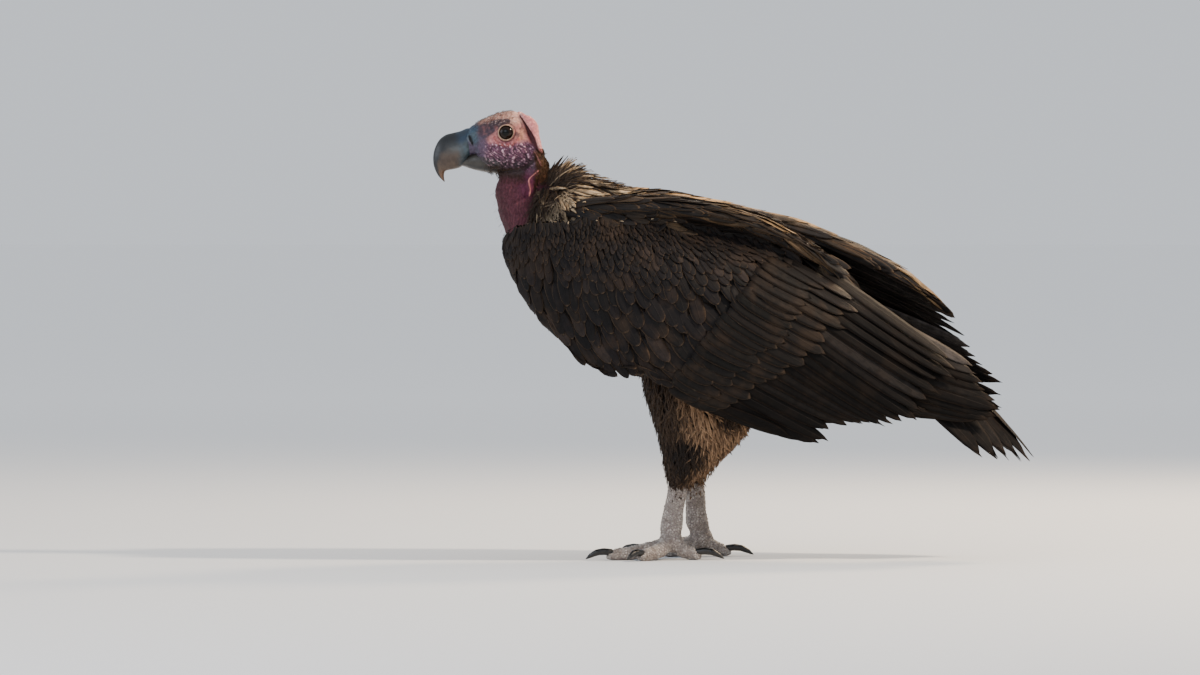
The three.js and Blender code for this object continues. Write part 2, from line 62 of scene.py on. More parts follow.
# ---- Camera, floor and light ----
# A long lens level with the bird, a pale floor that fades into a pale backdrop, one small warm key
# light high by the tail, a warm light behind, and wide soft lights over the camera.
VIEW_WIDTH = 1.80
VIEW_DISTANCE = 15.0
VIEW_AIM = Vector((-0.203, 0, 0.331))
VIEW_LIFT = math.radians(1.2)
SENSOR = 36.0
FAR_CLIP = 120
FLOOR_HALF = 40.0
FLOOR_COLOUR = "#d9dde0"
BACKDROP = (0.97, 0.97, 0.97)
FADE = (1.5, 9.0)          # between these distances the floor fades into the backdrop
BIRD_MIDDLE = Vector((0, 0, 0.4))
SKY_COLOUR = (0.88, 0.93, 1.0, 1)
SKY_STRENGTH = 0.85
# Each light: place, width, power, colour. All of them face the middle of the bird.
LIGHTS = {
    "key": ((2.9, -1.0, 3.2), 0.45, 270, "#ffe8cc"),
    "rim": ((1.6, 2.6, 2.4), 0.8, 130, "#ffe0b8"),
    "soft_front": ((-1.6, -4.2, 2.6), 3.0, 62, "#e6efff"),
    "soft_side": ((-4.4, -0.6, 1.7), 2.6, 45, "#eef4ff"),
}


def linear(code):
    """A colour written as #rrggbb, as the linear values that a shader takes."""
    values = np.array([int(code[i:i + 2], 16) for i in (1, 3, 5)]) / 255
    return np.where(values <= 0.04045, values / 12.92, ((values + 0.055) / 1.055) ** 2.4)


def new_material(name):
    material = bpy.data.materials.new(name)
    material.use_nodes = True
    return material, material.node_tree, material.node_tree.nodes["Principled BSDF"]


def node(tree, kind, **settings):
    made = tree.nodes.new(kind)
    for key, value in settings.items():
        setattr(made, key, value)
    return made


def feed(tree, value, target):
    """Gives a socket a number, a colour, or what another socket gives."""
    if isinstance(value, (int, float)):
        target.default_value = value
    elif isinstance(value, (tuple, np.ndarray)):
        target.default_value = (*value, 1)
    else:
        tree.links.new(value, target)


def mixed(tree, factor, a, b, blend="MIX"):
    made = node(tree, "ShaderNodeMix", data_type="RGBA", blend_type=blend)
    for target, value in zip((made.inputs[0], made.inputs[6], made.inputs[7]), (factor, a, b)):
        feed(tree, value, target)
    return made.outputs[2]


lens = bpy.data.cameras.new("camera")
lens.sensor_width = SENSOR
lens.lens = SENSOR * VIEW_DISTANCE / VIEW_WIDTH
lens.clip_end = FAR_CLIP
camera = bpy.data.objects.new("camera", lens)
camera.location = VIEW_AIM + VIEW_DISTANCE * Vector((0, -math.cos(VIEW_LIFT), math.sin(VIEW_LIFT)))
camera.rotation_euler = (math.pi / 2 - VIEW_LIFT, 0, 0)
scene.collection.objects.link(camera)
scene.camera = camera

floor_corners = [(x * FLOOR_HALF, y * FLOOR_HALF, 0) for x, y in ((-1, -1), (1, -1), (1, 1), (-1, 1))]
floor_mesh = bpy.data.meshes.new("floor")
floor_mesh.from_pydata(floor_corners, [], [(0, 1, 2, 3)])
floor_material, tree, shader = new_material("pale_floor")
shader.inputs["Roughness"].default_value = 0.9
distance = node(tree, "ShaderNodeVectorMath", operation="LENGTH")
feed(tree, node(tree, "ShaderNodeTexCoord").outputs["Object"], distance.inputs[0])
fade = node(tree, "ShaderNodeMapRange")
for label, value in (("From Min", FADE[0]), ("From Max", FADE[1]), ("Value", distance.outputs["Value"])):
    feed(tree, value, fade.inputs[label])
faded = mixed(tree, fade.outputs["Result"], linear(FLOOR_COLOUR), BACKDROP)
feed(tree, faded, shader.inputs["Base Color"])
floor_mesh.materials.append(floor_material)
floor = bpy.data.objects.new("floor", floor_mesh)
scene.collection.objects.link(floor)

for name, (place, width, power, colour) in LIGHTS.items():
    lamp = bpy.data.lights.new(name, "AREA")
    lamp.shape = "DISK"
    lamp.size = width
    lamp.energy = power
    lamp.color = linear(colour)
    light = bpy.data.objects.new(name, lamp)
    light.location = place
    light.rotation_euler = (Vector(place) - BIRD_MIDDLE).to_track_quat("Z", "Y").to_euler()
    scene.collection.objects.link(light)
world = bpy.data.worlds.new("studio")
world.use_nodes = True
world.node_tree.nodes["Background"].inputs["Color"].default_value = SKY_COLOUR
world.node_tree.nodes["Background"].inputs["Strength"].default_value = SKY_STRENGTH
scene.world = world

# ---- The body's form ----
# Flesh and small feathers together make this closed, smooth shape. It isn't shown: the skin is
# drawn in from it by the coat's depth, and the small feathers are laid along it.
MM = 0.001
SIDES = {"left": -1, "right": 1}
TRUNK_NODES = ["trunk", "ruff", "neck", "head"]
PAIRED = ["lappet", "wing_hand", "wing_arm", "wing_coverts", "scapulars", "thigh", "tarsus"]
FORM_NODES = TRUNK_NODES + [f"{part}_{side}" for part in PAIRED for side in SIDES]
FORM_VOXEL = 6 * MM
FORM_SMOOTHING = 5
WELD = 0.01 * MM
UNWRAP_ANGLE = math.radians(66)
UNWRAP_MARGIN = 0.003
PARTS = {
    "trunk": ["trunk"],
    "neck": ["neck"],
    "head": ["head", "lappet_left", "lappet_right"],
    "ruff": ["ruff"],
    "wing": [f"{part}_{side}" for part in ("wing_hand", "wing_arm", "wing_coverts") for side in SIDES],
    "scapulars": ["scapulars_left", "scapulars_right"],
    "thigh": ["thigh_left", "thigh_right"],
    "tarsus": ["tarsus_left", "tarsus_right"],
}
part_index = {name: i for i, name in enumerate(PARTS)}


def merged_copy(name, nodes):
    joined = bmesh.new()
    for cad_node in nodes:
        joined.from_mesh(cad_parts[cad_node].data)
    bmesh.ops.remove_doubles(joined, verts=joined.verts, dist=WELD)
    mesh = bpy.data.meshes.new(name)
    joined.to_mesh(mesh)
    joined.free()
    piece = bpy.data.objects.new(name, mesh)
    scene.collection.objects.link(piece)
    return piece


def settle(piece):
    """Makes what the piece's modifiers give its plain mesh."""
    bpy.context.view_layer.update()
    graph = bpy.context.evaluated_depsgraph_get()
    ready = bpy.data.meshes.new_from_object(piece.evaluated_get(graph))
    piece.modifiers.clear()
    piece.data = ready


def rounded(name, nodes, voxel, passes):
    """The nodes merged into one skin of even faces, and smoothed a number of times."""
    piece = merged_copy(name, nodes)
    remesh = piece.modifiers.new("even_faces", "REMESH")
    remesh.mode = "VOXEL"
    remesh.voxel_size = voxel
    soften = piece.modifiers.new("soften", "SMOOTH")
    soften.factor = 0.5
    soften.iterations = passes
    settle(piece)
    return piece


def vectors_of(items, kind):
    flat = np.empty(len(items) * 3)
    items.foreach_get(kind, flat)
    return flat.reshape(-1, 3)


def points_of(mesh):
    return vectors_of(mesh.vertices, "co")


def normals_of(mesh):
    return vectors_of(mesh.vertex_normals, "vector")


def tree_of(nodes):
    """A tree for finding places on the nodes' surfaces."""
    verts, faces = [], []
    for cad_node in nodes:
        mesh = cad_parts[cad_node].data
        first = len(verts)
        verts += [v.co[:] for v in mesh.vertices]
        faces += [[first + i for i in p.vertices] for p in mesh.polygons]
    return BVHTree.FromPolygons(verts, faces)


def nearest_part(points, parts):
    """For each point, the index of the part whose nodes lie nearest."""
    trees = [tree_of(nodes) for nodes in parts.values()]
    gaps = np.empty((len(points), len(trees)))
    for row, point in enumerate(points):
        for column, tree in enumerate(trees):
            gaps[row, column] = tree.find_nearest(point)[3]
    return gaps.argmin(1)


def unwrap(piece):
    bpy.context.view_layer.objects.active = piece
    piece.select_set(True)
    bpy.ops.object.mode_set(mode="EDIT")
    bpy.ops.mesh.select_all(action="SELECT")
    bpy.ops.uv.smart_project(angle_limit=UNWRAP_ANGLE, island_margin=UNWRAP_MARGIN)
    bpy.ops.object.mode_set(mode="OBJECT")
    piece.select_set(False)
    piece.data.uv_layers.active.name = "unwrap"


def in_triangles(piece):
    """The piece's points, its faces as triangles, each face's corners on a flat unwrap of the whole
    shape, and a tree for finding the nearest place on it."""
    piece.modifiers.new("triangles", "TRIANGULATE")
    settle(piece)
    unwrap(piece)
    points = points_of(piece.data)
    faces = np.array([p.vertices[:] for p in piece.data.polygons])
    flat = np.empty(len(piece.data.loops) * 2)
    piece.data.uv_layers.active.data.foreach_get("uv", flat)
    tree = BVHTree.FromPolygons(points.tolist(), faces.tolist())
    return points, faces, flat.reshape(-1, 3, 2), tree


form = rounded("form", FORM_NODES, FORM_VOXEL, FORM_SMOOTHING)
form_points, form_faces, form_flat, form_tree = in_triangles(form)
corners = form_points[form_faces]
face_middles = corners.mean(1)
face_normals = np.cross(corners[:, 1] - corners[:, 0], corners[:, 2] - corners[:, 0])
face_areas = np.linalg.norm(face_normals, axis=1) / 2
face_normals /= 2 * face_areas[:, None] + 1e-12
face_part = nearest_part(face_middles, PARTS)

# ---- Skin ----
# One skin from the cere to the toes: bare and folded on the head, neck and legs, and plain where
# feathers cover it, drawn in under them by the depth of the coat.
COAT_DEPTH = {
    "trunk": 9, "neck": 5, "head": 5, "ruff": 14, "wing": 6, "scapulars": 8, "thigh": 9, "tarsus": 4,
}
KEEP_SHARE = 0.36          # the coat takes no more than this share of a thin part's thickness
CORE_EVENING = 4
CORE_KEPT = 0.45           # the covered skin needs fewer faces than the form


def smoothstep(low, high, value):
    t = np.clip((value - low) / (high - low), 0, 1)
    return t * t * (3 - 2 * t)


def drawn_in(points, normals, depths):
    """Points moved inward by a depth, or by less where the part is thin."""
    moved = points.copy()
    for i, (point, normal) in enumerate(zip(points, normals)):
        start = Vector(point) - Vector(normal) * 0.5 * MM
        thickness = form_tree.ray_cast(start, -Vector(normal))[3]
        depth = depths[i] if thickness is None else min(depths[i], KEEP_SHARE * thickness)
        moved[i] -= normal * depth
    return moved


def evened(points, faces, passes):
    """Each point drawn halfway to the middle of its neighbours, a few times over."""
    for _ in range(passes):
        total = np.zeros_like(points)
        count = np.zeros(len(points))
        for a, b in ((0, 1), (1, 2), (2, 0)):
            np.add.at(total, faces[:, a], points[faces[:, b]])
            np.add.at(count, faces[:, a], 1)
        points = 0.5 * points + 0.5 * total / np.maximum(count, 1)[:, None]
    return points


vertex_part = nearest_part(form_points, PARTS)
form_depths = np.array([COAT_DEPTH[name] for name in PARTS])[vertex_part] * MM
core_points = drawn_in(form_points, normals_of(form.data), form_depths)
core_points = evened(core_points, form_faces, CORE_EVENING)

# The covered skin ends at these heights, inside the bare skin of the legs and of the neck.
leg_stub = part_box("tarsus_left")[1].z * 0.6
neck_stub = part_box("neck")[1].z - 30 * MM
bare = face_part == part_index["head"]
bare |= (face_part == part_index["neck"]) & (face_middles[:, 2] > neck_stub)
bare |= (face_part == part_index["tarsus"]) & (face_middles[:, 2] < leg_stub)
core_faces = form_faces[~bare]
core_mesh = bpy.data.meshes.new("core")
core_mesh.from_pydata(core_points.tolist(), [], core_faces.tolist())
core = bpy.data.objects.new("core", core_mesh)
scene.collection.objects.link(core)
core.modifiers.new("fewer", "DECIMATE").ratio = CORE_KEPT
settle(core)
core_points = points_of(core.data)
core_faces = [list(p.vertices) for p in core.data.polygons]

HEAD_NODES = ["head", "neck", "cere", "lappet_left", "lappet_right", "eye_left", "eye_right"]
HEAD_VOXEL = 4.6 * MM
HEAD_SMOOTHING = 5
HEAD_SWELL = 0.7 * MM      # makes up for what the smoothing takes away
eye_low, eye_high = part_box("eye_left")
EYE_RADIUS = (eye_high.x - eye_low.x) / 2 / MM
eye_x, eye_z = (eye_low.x + eye_high.x) / 2, (eye_low.z + eye_high.z) / 2
EYE_SIDE = -(eye_low.y + eye_high.y) / 2 / MM
EYE_TURN = 0.10            # the eyes look a little forward, in radians
APERTURE = 11.4            # radius at which the skin turns in under the lid's rim
RIM = 12.9                 # outer radius of the pale rim
LID = 1.5                  # thickness of the lids over the eye
LID_REACH = 24             # the skin further out than this keeps its own shape

head_skin = rounded("head_skin", HEAD_NODES, HEAD_VOXEL, HEAD_SMOOTHING)
unwrap(head_skin)
divide = head_skin.modifiers.new("divide", "SUBSURF")
divide.levels = divide.render_levels = 2
settle(head_skin)
head_points = points_of(head_skin.data)
head_points += normals_of(head_skin.data) * HEAD_SWELL

# Places on the head in millimetres from the eye's middle: backward, outward from the middle
# plane, and up.
at_head = np.empty_like(head_points)
at_head[:, 0] = (head_points[:, 0] - eye_x) / MM
at_head[:, 1] = np.abs(head_points[:, 1]) / MM
at_head[:, 2] = (head_points[:, 2] - eye_z) / MM


def smooth_line(points, steps=12):
    """A smooth curve through the points (uniform Catmull-Rom); a point may carry more values."""
    rows = np.array(points, float)
    rows = np.vstack([2 * rows[0] - rows[1], rows, 2 * rows[-1] - rows[-2]])
    curve = []
    for a, b, c, d in zip(rows, rows[1:], rows[2:], rows[3:]):
        for t in np.arange(steps) / steps:
            curve.append(b + 0.5 * t * (c - a + t * (2 * a - 5 * b + 4 * c - d
                                                    + t * (3 * (b - c) + d - a))))
    curve.append(rows[-2])
    return np.array(curve)


def near_line(places, line):
    """Distance from a line in the side view, its values at the nearest place, and the side: the
    sign of the distance is positive above or behind the line as it runs."""
    curve = smooth_line(line)
    flat = places[:, [0, 2]]
    best = np.full(len(places), np.inf)
    side = np.zeros(len(places))
    values = np.zeros((len(places), curve.shape[1] - 2))
    for start, end in zip(curve, curve[1:]):
        along = end[:2] - start[:2]
        t = np.clip((flat - start[:2]) @ along / (along @ along + 1e-9), 0, 1)
        away = flat - (start[:2] + t[:, None] * along)
        gap = np.hypot(*away.T)
        closer = gap < best
        best[closer] = gap[closer]
        side[closer] = np.sign(along[0] * away[:, 1] - along[1] * away[:, 0])[closer]
        values[closer] = (start[2:] + t[:, None] * (end[2:] - start[2:]))[closer]
    return best, values, side


def field(places, size, seed, octaves=2):
    """Smooth noise from -1 to 1 over the places."""
    return np.array([
        noise.fractal(Vector(p) / size + Vector((seed, 0, 0)), 0.9, 2.0, octaves) for p in places
    ])


def bulge(gap, width):
    """A smooth hump, 1 where the gap is nothing."""
    return np.exp(-(gap / width) ** 2)


def eye_axis(side):
    return np.array([-math.sin(EYE_TURN), side * math.cos(EYE_TURN), 0.0])


def eye_middle(side):
    return np.array([eye_x, side * EYE_SIDE * MM, eye_z])


# Each line: backward and up from the eye, and a width where it changes.
HOOD_SLIT = [(20, 25, 1.6), (28, 12, 3.2), (35, -1, 6.5), (41, -12, 9.5), (47, -21, 7.5), (54, -31, 1.5)]
HOOD_EDGE = [(20, 25), (30, 10), (38, -3), (46, -14), (55, -27)]
JAW_LINE = [(-20, -58), (0, -57.5), (15, -55.5), (29, -51), (37, -45), (43, -33)]
LAPPET_UPPER = [(44, -29), (47, -37), (49, -49)]
LAPPET_LOWER = [(45, -57), (39, -64), (34, -70), (33.6, -77), (35, -85), (34, -95)]
BROW = [(-42, 6), (-30, 11.5), (-17, 16), (-4, 18.5), (9, 17), (17, 10)]
LOWER_LID_FOLD = [(-19, -7), (-14, -15), (-3, -19), (9, -17), (18, -9)]
GAPE = [(-66, -34), (-45, -33), (-22, -31), (-10, -33), (0, -38)]
NOSTRIL = [(-56.2, -5.5, 1.7), (-53.8, -11, 2.1), (-51.2, -17.5, 1.2)]
NOSTRIL_RIDGE = [(-60, -7), (-57, -13), (-53, -20)]
LORE_BAND = [(-43, 0, 12), (-32, 4, 11.5), (-20, 10, 8.5), (-8, 14.5, 5.5), (3, 16.5, 3)]
JAW_BAND = [(-62, -42, 9), (-42, -43, 8.5), (-24, -44.5, 7), (-12, -46, 4)]
NECK_FOLDS = [
    [(-14, -82), (-2, -86), (12, -82), (24, -74)],
    [(-15, -98), (0, -104), (16, -104), (28, -96)],
    [(-12, -116), (4, -122), (20, -122)],
]

x, y, z = at_head.T
fine = field(at_head, 6.0, 3)
coarse = field(at_head, 16.0, 11)
warp = field(at_head, 11.0, 29)
lift = np.zeros(len(at_head))      # how far each place moves outward, in millimetres
slit_gap, slit_width, _ = near_line(at_head, HOOD_SLIT)
slit = 1 - smoothstep(0.3, 1.0, slit_gap / (slit_width[:, 0] * 0.75))
hood_gap, _, hood_side = near_line(at_head, HOOD_EDGE)
behind_hood = smoothstep(-1, 2, hood_gap * hood_side)
lift += 2.2 * bulge(hood_gap - 3.5, 3.5) * behind_hood - 3.2 * slit
jaw_gap, _, jaw_side = near_line(at_head, JAW_LINE)
lift -= 2.2 * bulge(jaw_gap, 2.6)
lift += 1.2 * bulge(jaw_gap * jaw_side - 6, 4) * (x > -24)
lappet = np.zeros(len(at_head))
for line in (LAPPET_UPPER, LAPPET_LOWER):
    gap, _, side = near_line(at_head, line)
    lappet = np.maximum(lappet, bulge(gap, 1.05 + 0.7 * warp))
    lift -= 1.8 * bulge(gap - 4.5, 2.6) * (side < 0)
lift += 1.3 * lappet
lift += 1.9 * bulge(near_line(at_head, BROW)[0], 3.2)
lid_gap = near_line(at_head, LOWER_LID_FOLD)[0]
lift += 0.9 * bulge(lid_gap, 1.8)
lift -= 0.7 * bulge(lid_gap - 3.4, 1.4)
gape_gap = near_line(at_head, GAPE)[0]
lift -= 0.9 * bulge(gape_gap, 1.3) * smoothstep(-70, -50, x)
for line in NECK_FOLDS:
    lift -= 1.3 * bulge(near_line(at_head, line)[0], 2.0) * smoothstep(8, 16, y)
nostril_gap, nostril_width, _ = near_line(at_head, NOSTRIL)
on_cere_side = smoothstep(8, 14, y)
nostril = (1 - smoothstep(0.7, 1.3, nostril_gap / nostril_width[:, 0])) * on_cere_side
ridge_gap = near_line(at_head, NOSTRIL_RIDGE)[0]
lift += 0.9 * bulge(ridge_gap, 1.6) * on_cere_side - 2.4 * nostril
lift -= 1.2 * np.exp(-((x + 30) / 11) ** 2 - ((z - 1) / 7) ** 2)
lift -= 2.4 * smoothstep(-52, -62, x)
crop = bulge(z + 88, 13) * smoothstep(10, -6, x) * smoothstep(-58, -66, z)
lift += 2.6 * crop

# Wrinkles: wandering ridges over the cheek, softer ones on the crown and the neck.
cheek = smoothstep(-38, -24, x) * smoothstep(46, 36, x) * smoothstep(-12, -19, z) * smoothstep(-58, -50, z)
along_fold = x * 0.74 - z * 0.67
across_fold = x * 0.67 + z * 0.74
bent = np.stack([along_fold / 2.9 + 0.9 * warp, y / 2.5, across_fold + 1.5 * coarse], 1)
folds = field(bent, 3.4, 61, 1)
crossing = field(at_head, 5.6, 67, 1)
ridges = smoothstep(0.0, 0.26, np.abs(folds)) * (0.7 + 0.3 * smoothstep(0.0, 0.16, np.abs(crossing)))
lift += cheek * (1.9 * ridges + 0.35 * fine - 1.1)
is_neck = smoothstep(-58, -66, z)
crown = smoothstep(8, 18, z)
pleats = 1 - np.abs(np.sin(x / 1.55 + 0.012 * z + 2.2 * warp))
lift += is_neck * (0.8 * pleats + 0.5 * coarse)
lift += (1 - is_neck) * (1 - cheek) * 0.28 * fine * (x > -40)
lift += crown * 0.5 * coarse
from_nostril = smoothstep(-46, -42, x)
head_points += normals_of(head_skin.data) * (lift * (0.15 + 0.85 * from_nostril)
                                             + (1 - from_nostril) * lift * 0.85)[:, None] * MM

# The hood's back is flat against the skull and the nape widens below it.
set_back = smoothstep(26, -4, z) - 2 * smoothstep(-24, -56, z)
head_points[:, 0] -= 7.2 * set_back * smoothstep(36, 60, x) * MM

# Lids: close to the eye the skin lies on the eyeball, and dips into it inside the opening.
for side in SIDES.values():
    axis = eye_axis(side)
    away = (head_points - eye_middle(side)) / MM
    out = away @ axis
    flat = away - out[:, None] * axis
    radius = np.hypot(np.hypot(flat[:, 0], flat[:, 1]), flat[:, 2])
    near = (out > 0) & (radius < LID_REACH)
    tilt = radius / (EYE_RADIUS + LID)
    on_ball = (EYE_RADIUS + LID) * np.sqrt(np.clip(1 - tilt ** 2, 0, 1))
    on_ball = on_ball + 0.5 * bulge(radius - APERTURE - 0.8, 0.8)
    sunk = EYE_RADIUS * np.sqrt(np.clip(1 - (radius / EYE_RADIUS) ** 2, 0, 1)) - 3.5
    goal = np.where(radius < APERTURE, sunk, on_ball)
    ease = smoothstep(APERTURE - 0.9, APERTURE + 0.2, radius)
    goal = sunk * (1 - ease) + goal * ease
    share = 1 - smoothstep(RIM - 0.5, RIM + 5, radius)
    aim = np.where(radius > EYE_RADIUS + LID - 0.6, out, np.maximum(goal, 0))
    step = np.where(near, share * (aim - out), 0)
    head_points += step[:, None] * axis * MM
    rim_groove = np.where(near, bulge(radius - RIM - 0.6, 0.9), 0)
    head_points -= (0.5 * rim_groove)[:, None] * axis * MM

PALETTE = {name: linear(code) for name, code in {
    "salmon": "#c98079", "crown": "#d9a48f", "hood": "#e28d8b", "cheek": "#774660",
    "furrow_shade": "#1f1119", "ridge": "#f2c6d2", "lore": "#3d2534", "cere": "#3a525f",
    "cere_low": "#50455c", "rim": "#c4a58a", "lower_lid": "#b85f58", "neck": "#5a2a36",
    "neck_front": "#41161f", "throat": "#33201c", "nape": "#81553a", "lappet": "#e39088",
    "slit": "#4f1019", "pale_speck_and_highlight": "#e9cfc0", "dark_speck_and_shade": "#3f2930", "under_coat": "#15110f",
    "leg": "#9a9189", "nostril": "#07090b", "magenta": "#661f45", "jaw": "#403c3e", "pleat": "#8b4a4c",
    "rosy": "#dc8f92", "tan": "#b07a5c", "cere_top": "#1b3d58", "cere_pale": "#66747d",
    "painted_rim_shade": "#4d352e",
}.items()}


def tinted(colours, palette, marks):
    """The colours with marks laid over them in order, each a mask and the name of its colour."""
    for mask, name in marks:
        colours = colours + np.clip(mask, 0, 1)[:, None] * (palette[name] - colours)
    return colours


band_gap, band_width, _ = near_line(at_head, LORE_BAND)
jaw_band_gap, jaw_band_width, _ = near_line(at_head, JAW_BAND)
is_cere = smoothstep(-39, -49, x + 4 * coarse + 3 * warp)
# Where painted highlights fall on the cheek's folds: fewer of them low on the cheek.
glints = smoothstep(0.02, 0.36, field(at_head, 3.8, 53, 2))
glints = glints * (1 - 0.55 * smoothstep(-30, -46, z + 4 * coarse))
# How strong the painted shade in the cheek's furrows is: stronger low on the cheek.
deep = 0.62 + 0.38 * smoothstep(-24, -44, z + 3 * warp)
neck_mask = is_neck * smoothstep(60, 48, x)
neck_side = smoothstep(10, 30, x) * smoothstep(-48, -58, z) * smoothstep(-108, -90, z)
under_jaw = smoothstep(-50, -57, z) * smoothstep(-74, -62, z + 0.2 * x) * smoothstep(-30, -6, x - 6)
chin = smoothstep(-47, -51.5, z + 0.8 * fine) * smoothstep(-67, -62, z)
nape = smoothstep(42, 47, x + 0.12 * (z + 60)) * smoothstep(-22, -34, z)
hood = behind_hood * smoothstep(22, 14, np.abs(hood_gap)) * smoothstep(-36, -26, z)
speckle = field(at_head, 2.1, 71, 1)
behind_eye = smoothstep(4, 10, x) * smoothstep(30, 22, x) * smoothstep(-14, -4, z) * smoothstep(18, 8, z)
head_colours = tinted(np.tile(PALETTE["salmon"], (len(at_head), 1)), PALETTE, [
    (smoothstep(-0.1, 0.5, coarse) * 0.5, "tan"),
    (crown * smoothstep(-52, -30, x) + 0.3 * coarse * crown, "crown"),
    (crown * smoothstep(2, -22, x) * (0.45 + 0.5 * warp), "tan"),
    (np.exp(-((x - 21) / 9) ** 2 - ((z + 4) / 9) ** 2) * (0.6 + fine), "tan"),
    (smoothstep(-9, -19, z + 4 * warp) * (z > -80), "cheek"),
    (smoothstep(-34, -48, z + 3 * warp) * 0.85, "lore"),
    (smoothstep(-24, -38, x + 4 * warp) * smoothstep(4, -12, z) * 0.7, "cheek"),
    (np.exp(-((x + 21) / 6) ** 2 - ((z + 13) / 4.5) ** 2), "rosy"),
    (smoothstep(1.25, 0.7, band_gap / band_width[:, 0]) * (1.0 + 0.3 * fine + 0.4 * warp), "lore"),
    (smoothstep(-24, -36, x + 3 * warp) * smoothstep(0, -8, z) * 0.75, "cere_low"),
    (bulge(lid_gap, 3.0) * 0.8, "lower_lid"),
    (is_cere, "cere"),
    (is_cere * smoothstep(-2, 8, z + 3 * warp), "cere_top"),
    (is_cere * bulge(ridge_gap, 2.4) * 0.7, "cere_pale"),
    (is_cere * smoothstep(-12, -22, z + 0.5 * (x + 50)), "cere_low"),
    (smoothstep(1.1, 0.6, jaw_band_gap / jaw_band_width[:, 0]) * 0.85, "jaw"),
    (bulge(gape_gap, 1.3) * 0.35, "lore"),
    # Painted shade in the furrows between the cheek's folds, stronger low on the cheek.
    (cheek * smoothstep(0.55, 0.12, ridges) * deep, "furrow_shade"),
    # Painted highlights: pale pink glints along the crests of the cheek's folds.
    (cheek * smoothstep(0.70, 0.96, ridges) * glints, "ridge"),
    (neck_mask, "neck"),
    (neck_mask * smoothstep(0.5, 0.95, pleats) * (0.25 + 0.35 * fine), "pleat"),
    (neck_mask * smoothstep(4, -12, x + 0.18 * (z + 80)) * 0.7, "neck_front"),
    (neck_side * (0.55 + 0.4 * warp), "magenta"),
    (under_jaw * smoothstep(34, 20, x) * 0.9, "throat"),
    (chin * smoothstep(-66, -58, x) * smoothstep(-6, -13, x), "throat"),
    # Painted shadow in the crease along the jaw line, between the jaw and the neck.
    (bulge(jaw_gap, 2.8) * 0.8, "throat"),
    (smoothstep(-48, -55, z) * smoothstep(14, 4, y) * (z > -72), "throat"),
    (nape, "nape"),
    (nape * smoothstep(0.0, 0.4, fine), "throat"),
    (hood * (x > 14), "hood"),
    # A painted highlight: a thin pale line along the hood's front edge.
    (bulge(hood_gap - 2.0, 1.3) * behind_hood * (z > -24) * 0.55, "pale_speck_and_highlight"),
    (slit * 1.2, "slit"),
    (smoothstep(0.35, 0.85, lappet), "lappet"),
    (crown * smoothstep(0.12, 0.4, speckle) * 0.85 * (x < 16), "pale_speck_and_highlight"),
    (smoothstep(4, 13, z) * smoothstep(0.12, 0.40, -speckle) * 0.95 * smoothstep(14, -4, x), "dark_speck_and_shade"),
    (behind_eye * smoothstep(0.1, 0.4, -fine) * 0.7, "dark_speck_and_shade"),
    (nostril * 1.2, "nostril"),
])
# Painted shade in a ring just outside each eye's pale rim, stronger above the eye under the brow.
above_eye = smoothstep(2, 9, z) * smoothstep(14, 6, x)
for side in SIDES.values():
    radius = np.hypot(*((head_points - eye_middle(side))[:, [0, 2]] / MM).T)
    shadow = bulge(radius - RIM - 0.9, 1.0) * (head_points[:, 1] * side > 0)
    head_colours = tinted(head_colours, PALETTE, [(shadow * (0.45 + 0.75 * above_eye), "dark_speck_and_shade")])

# The rim of the lids: a smooth pale roll of skin round the opening, dulled on one side by painted
# shade.
ROLL_STEPS, ROLL_SIDES = 72, 12
ROLL_RADIUS = 11.35        # of the roll's middle line round the eye's axis
ROLL_OUT = 9.4             # how far that line stands out from the eye's middle
ROLL_HEIGHT = 1.1
roll_points, roll_faces, roll_colours = [], [], []
for side in SIDES.values():
    axis = eye_axis(side)
    ahead = np.array([axis[1], -axis[0], 0]) * side
    first = len(roll_points)
    for i in range(ROLL_STEPS):
        turn = 2 * math.pi * i / ROLL_STEPS
        out = -math.cos(turn) * ahead + math.sin(turn) * np.array([0, 0, 1])
        wide = 0.85 + 0.15 * math.cos(turn + 1.0) + 0.06 * math.sin(9 * turn)
        middle = ROLL_RADIUS * out + ROLL_OUT * axis
        # Painted shade: how far this part of the roll is drawn towards a darker colour.
        rim_shading = 0.55 * max(0, -math.cos(turn))
        for j in range(ROLL_SIDES):
            tilt = 2 * math.pi * j / ROLL_SIDES
            spot = middle + wide * math.cos(tilt) * out + ROLL_HEIGHT * math.sin(tilt) * axis
            roll_points.append(eye_middle(side) + spot * MM)
            roll_colours.append(PALETTE["rim"] + rim_shading * (PALETTE["painted_rim_shade"] - PALETTE["rim"]))
            a, b = first + i * ROLL_SIDES, first + (i + 1) % ROLL_STEPS * ROLL_SIDES
            k = (j + 1) % ROLL_SIDES
            roll_faces.append([a + j, b + j, b + k, a + k])


def outward(points, faces):
    """The faces of a closed shape, all turned over if they face inward."""
    points = np.asarray(points)
    volume = 0.0
    for face in faces:
        for b, c in zip(face[1:], face[2:]):
            volume += points[face[0]] @ np.cross(points[b], points[c])
    return faces if volume > 0 else [face[::-1] for face in faces]


half_roll = len(roll_faces) // 2
roll_faces = outward(roll_points, roll_faces[:half_roll]) + outward(roll_points, roll_faces[half_roll:])

LEG_VOXEL = 2.6 * MM
LEG_SMOOTHING = 4
SOLE = 0.2 * MM            # the soles are flat at this height
leg_nodes = [f"tarsus_{side}" for side in SIDES] + [f"foot_{side}" for side in SIDES]
leg_nodes += [f"toe_{toe}_{side}" for toe in ("inner", "middle", "outer", "hind") for side in SIDES]
leg_skin = rounded("leg_skin", leg_nodes, LEG_VOXEL, LEG_SMOOTHING)
unwrap(leg_skin)
leg_points = points_of(leg_skin.data)
leg_points[:, 2] = np.maximum(leg_points[:, 2], SOLE)


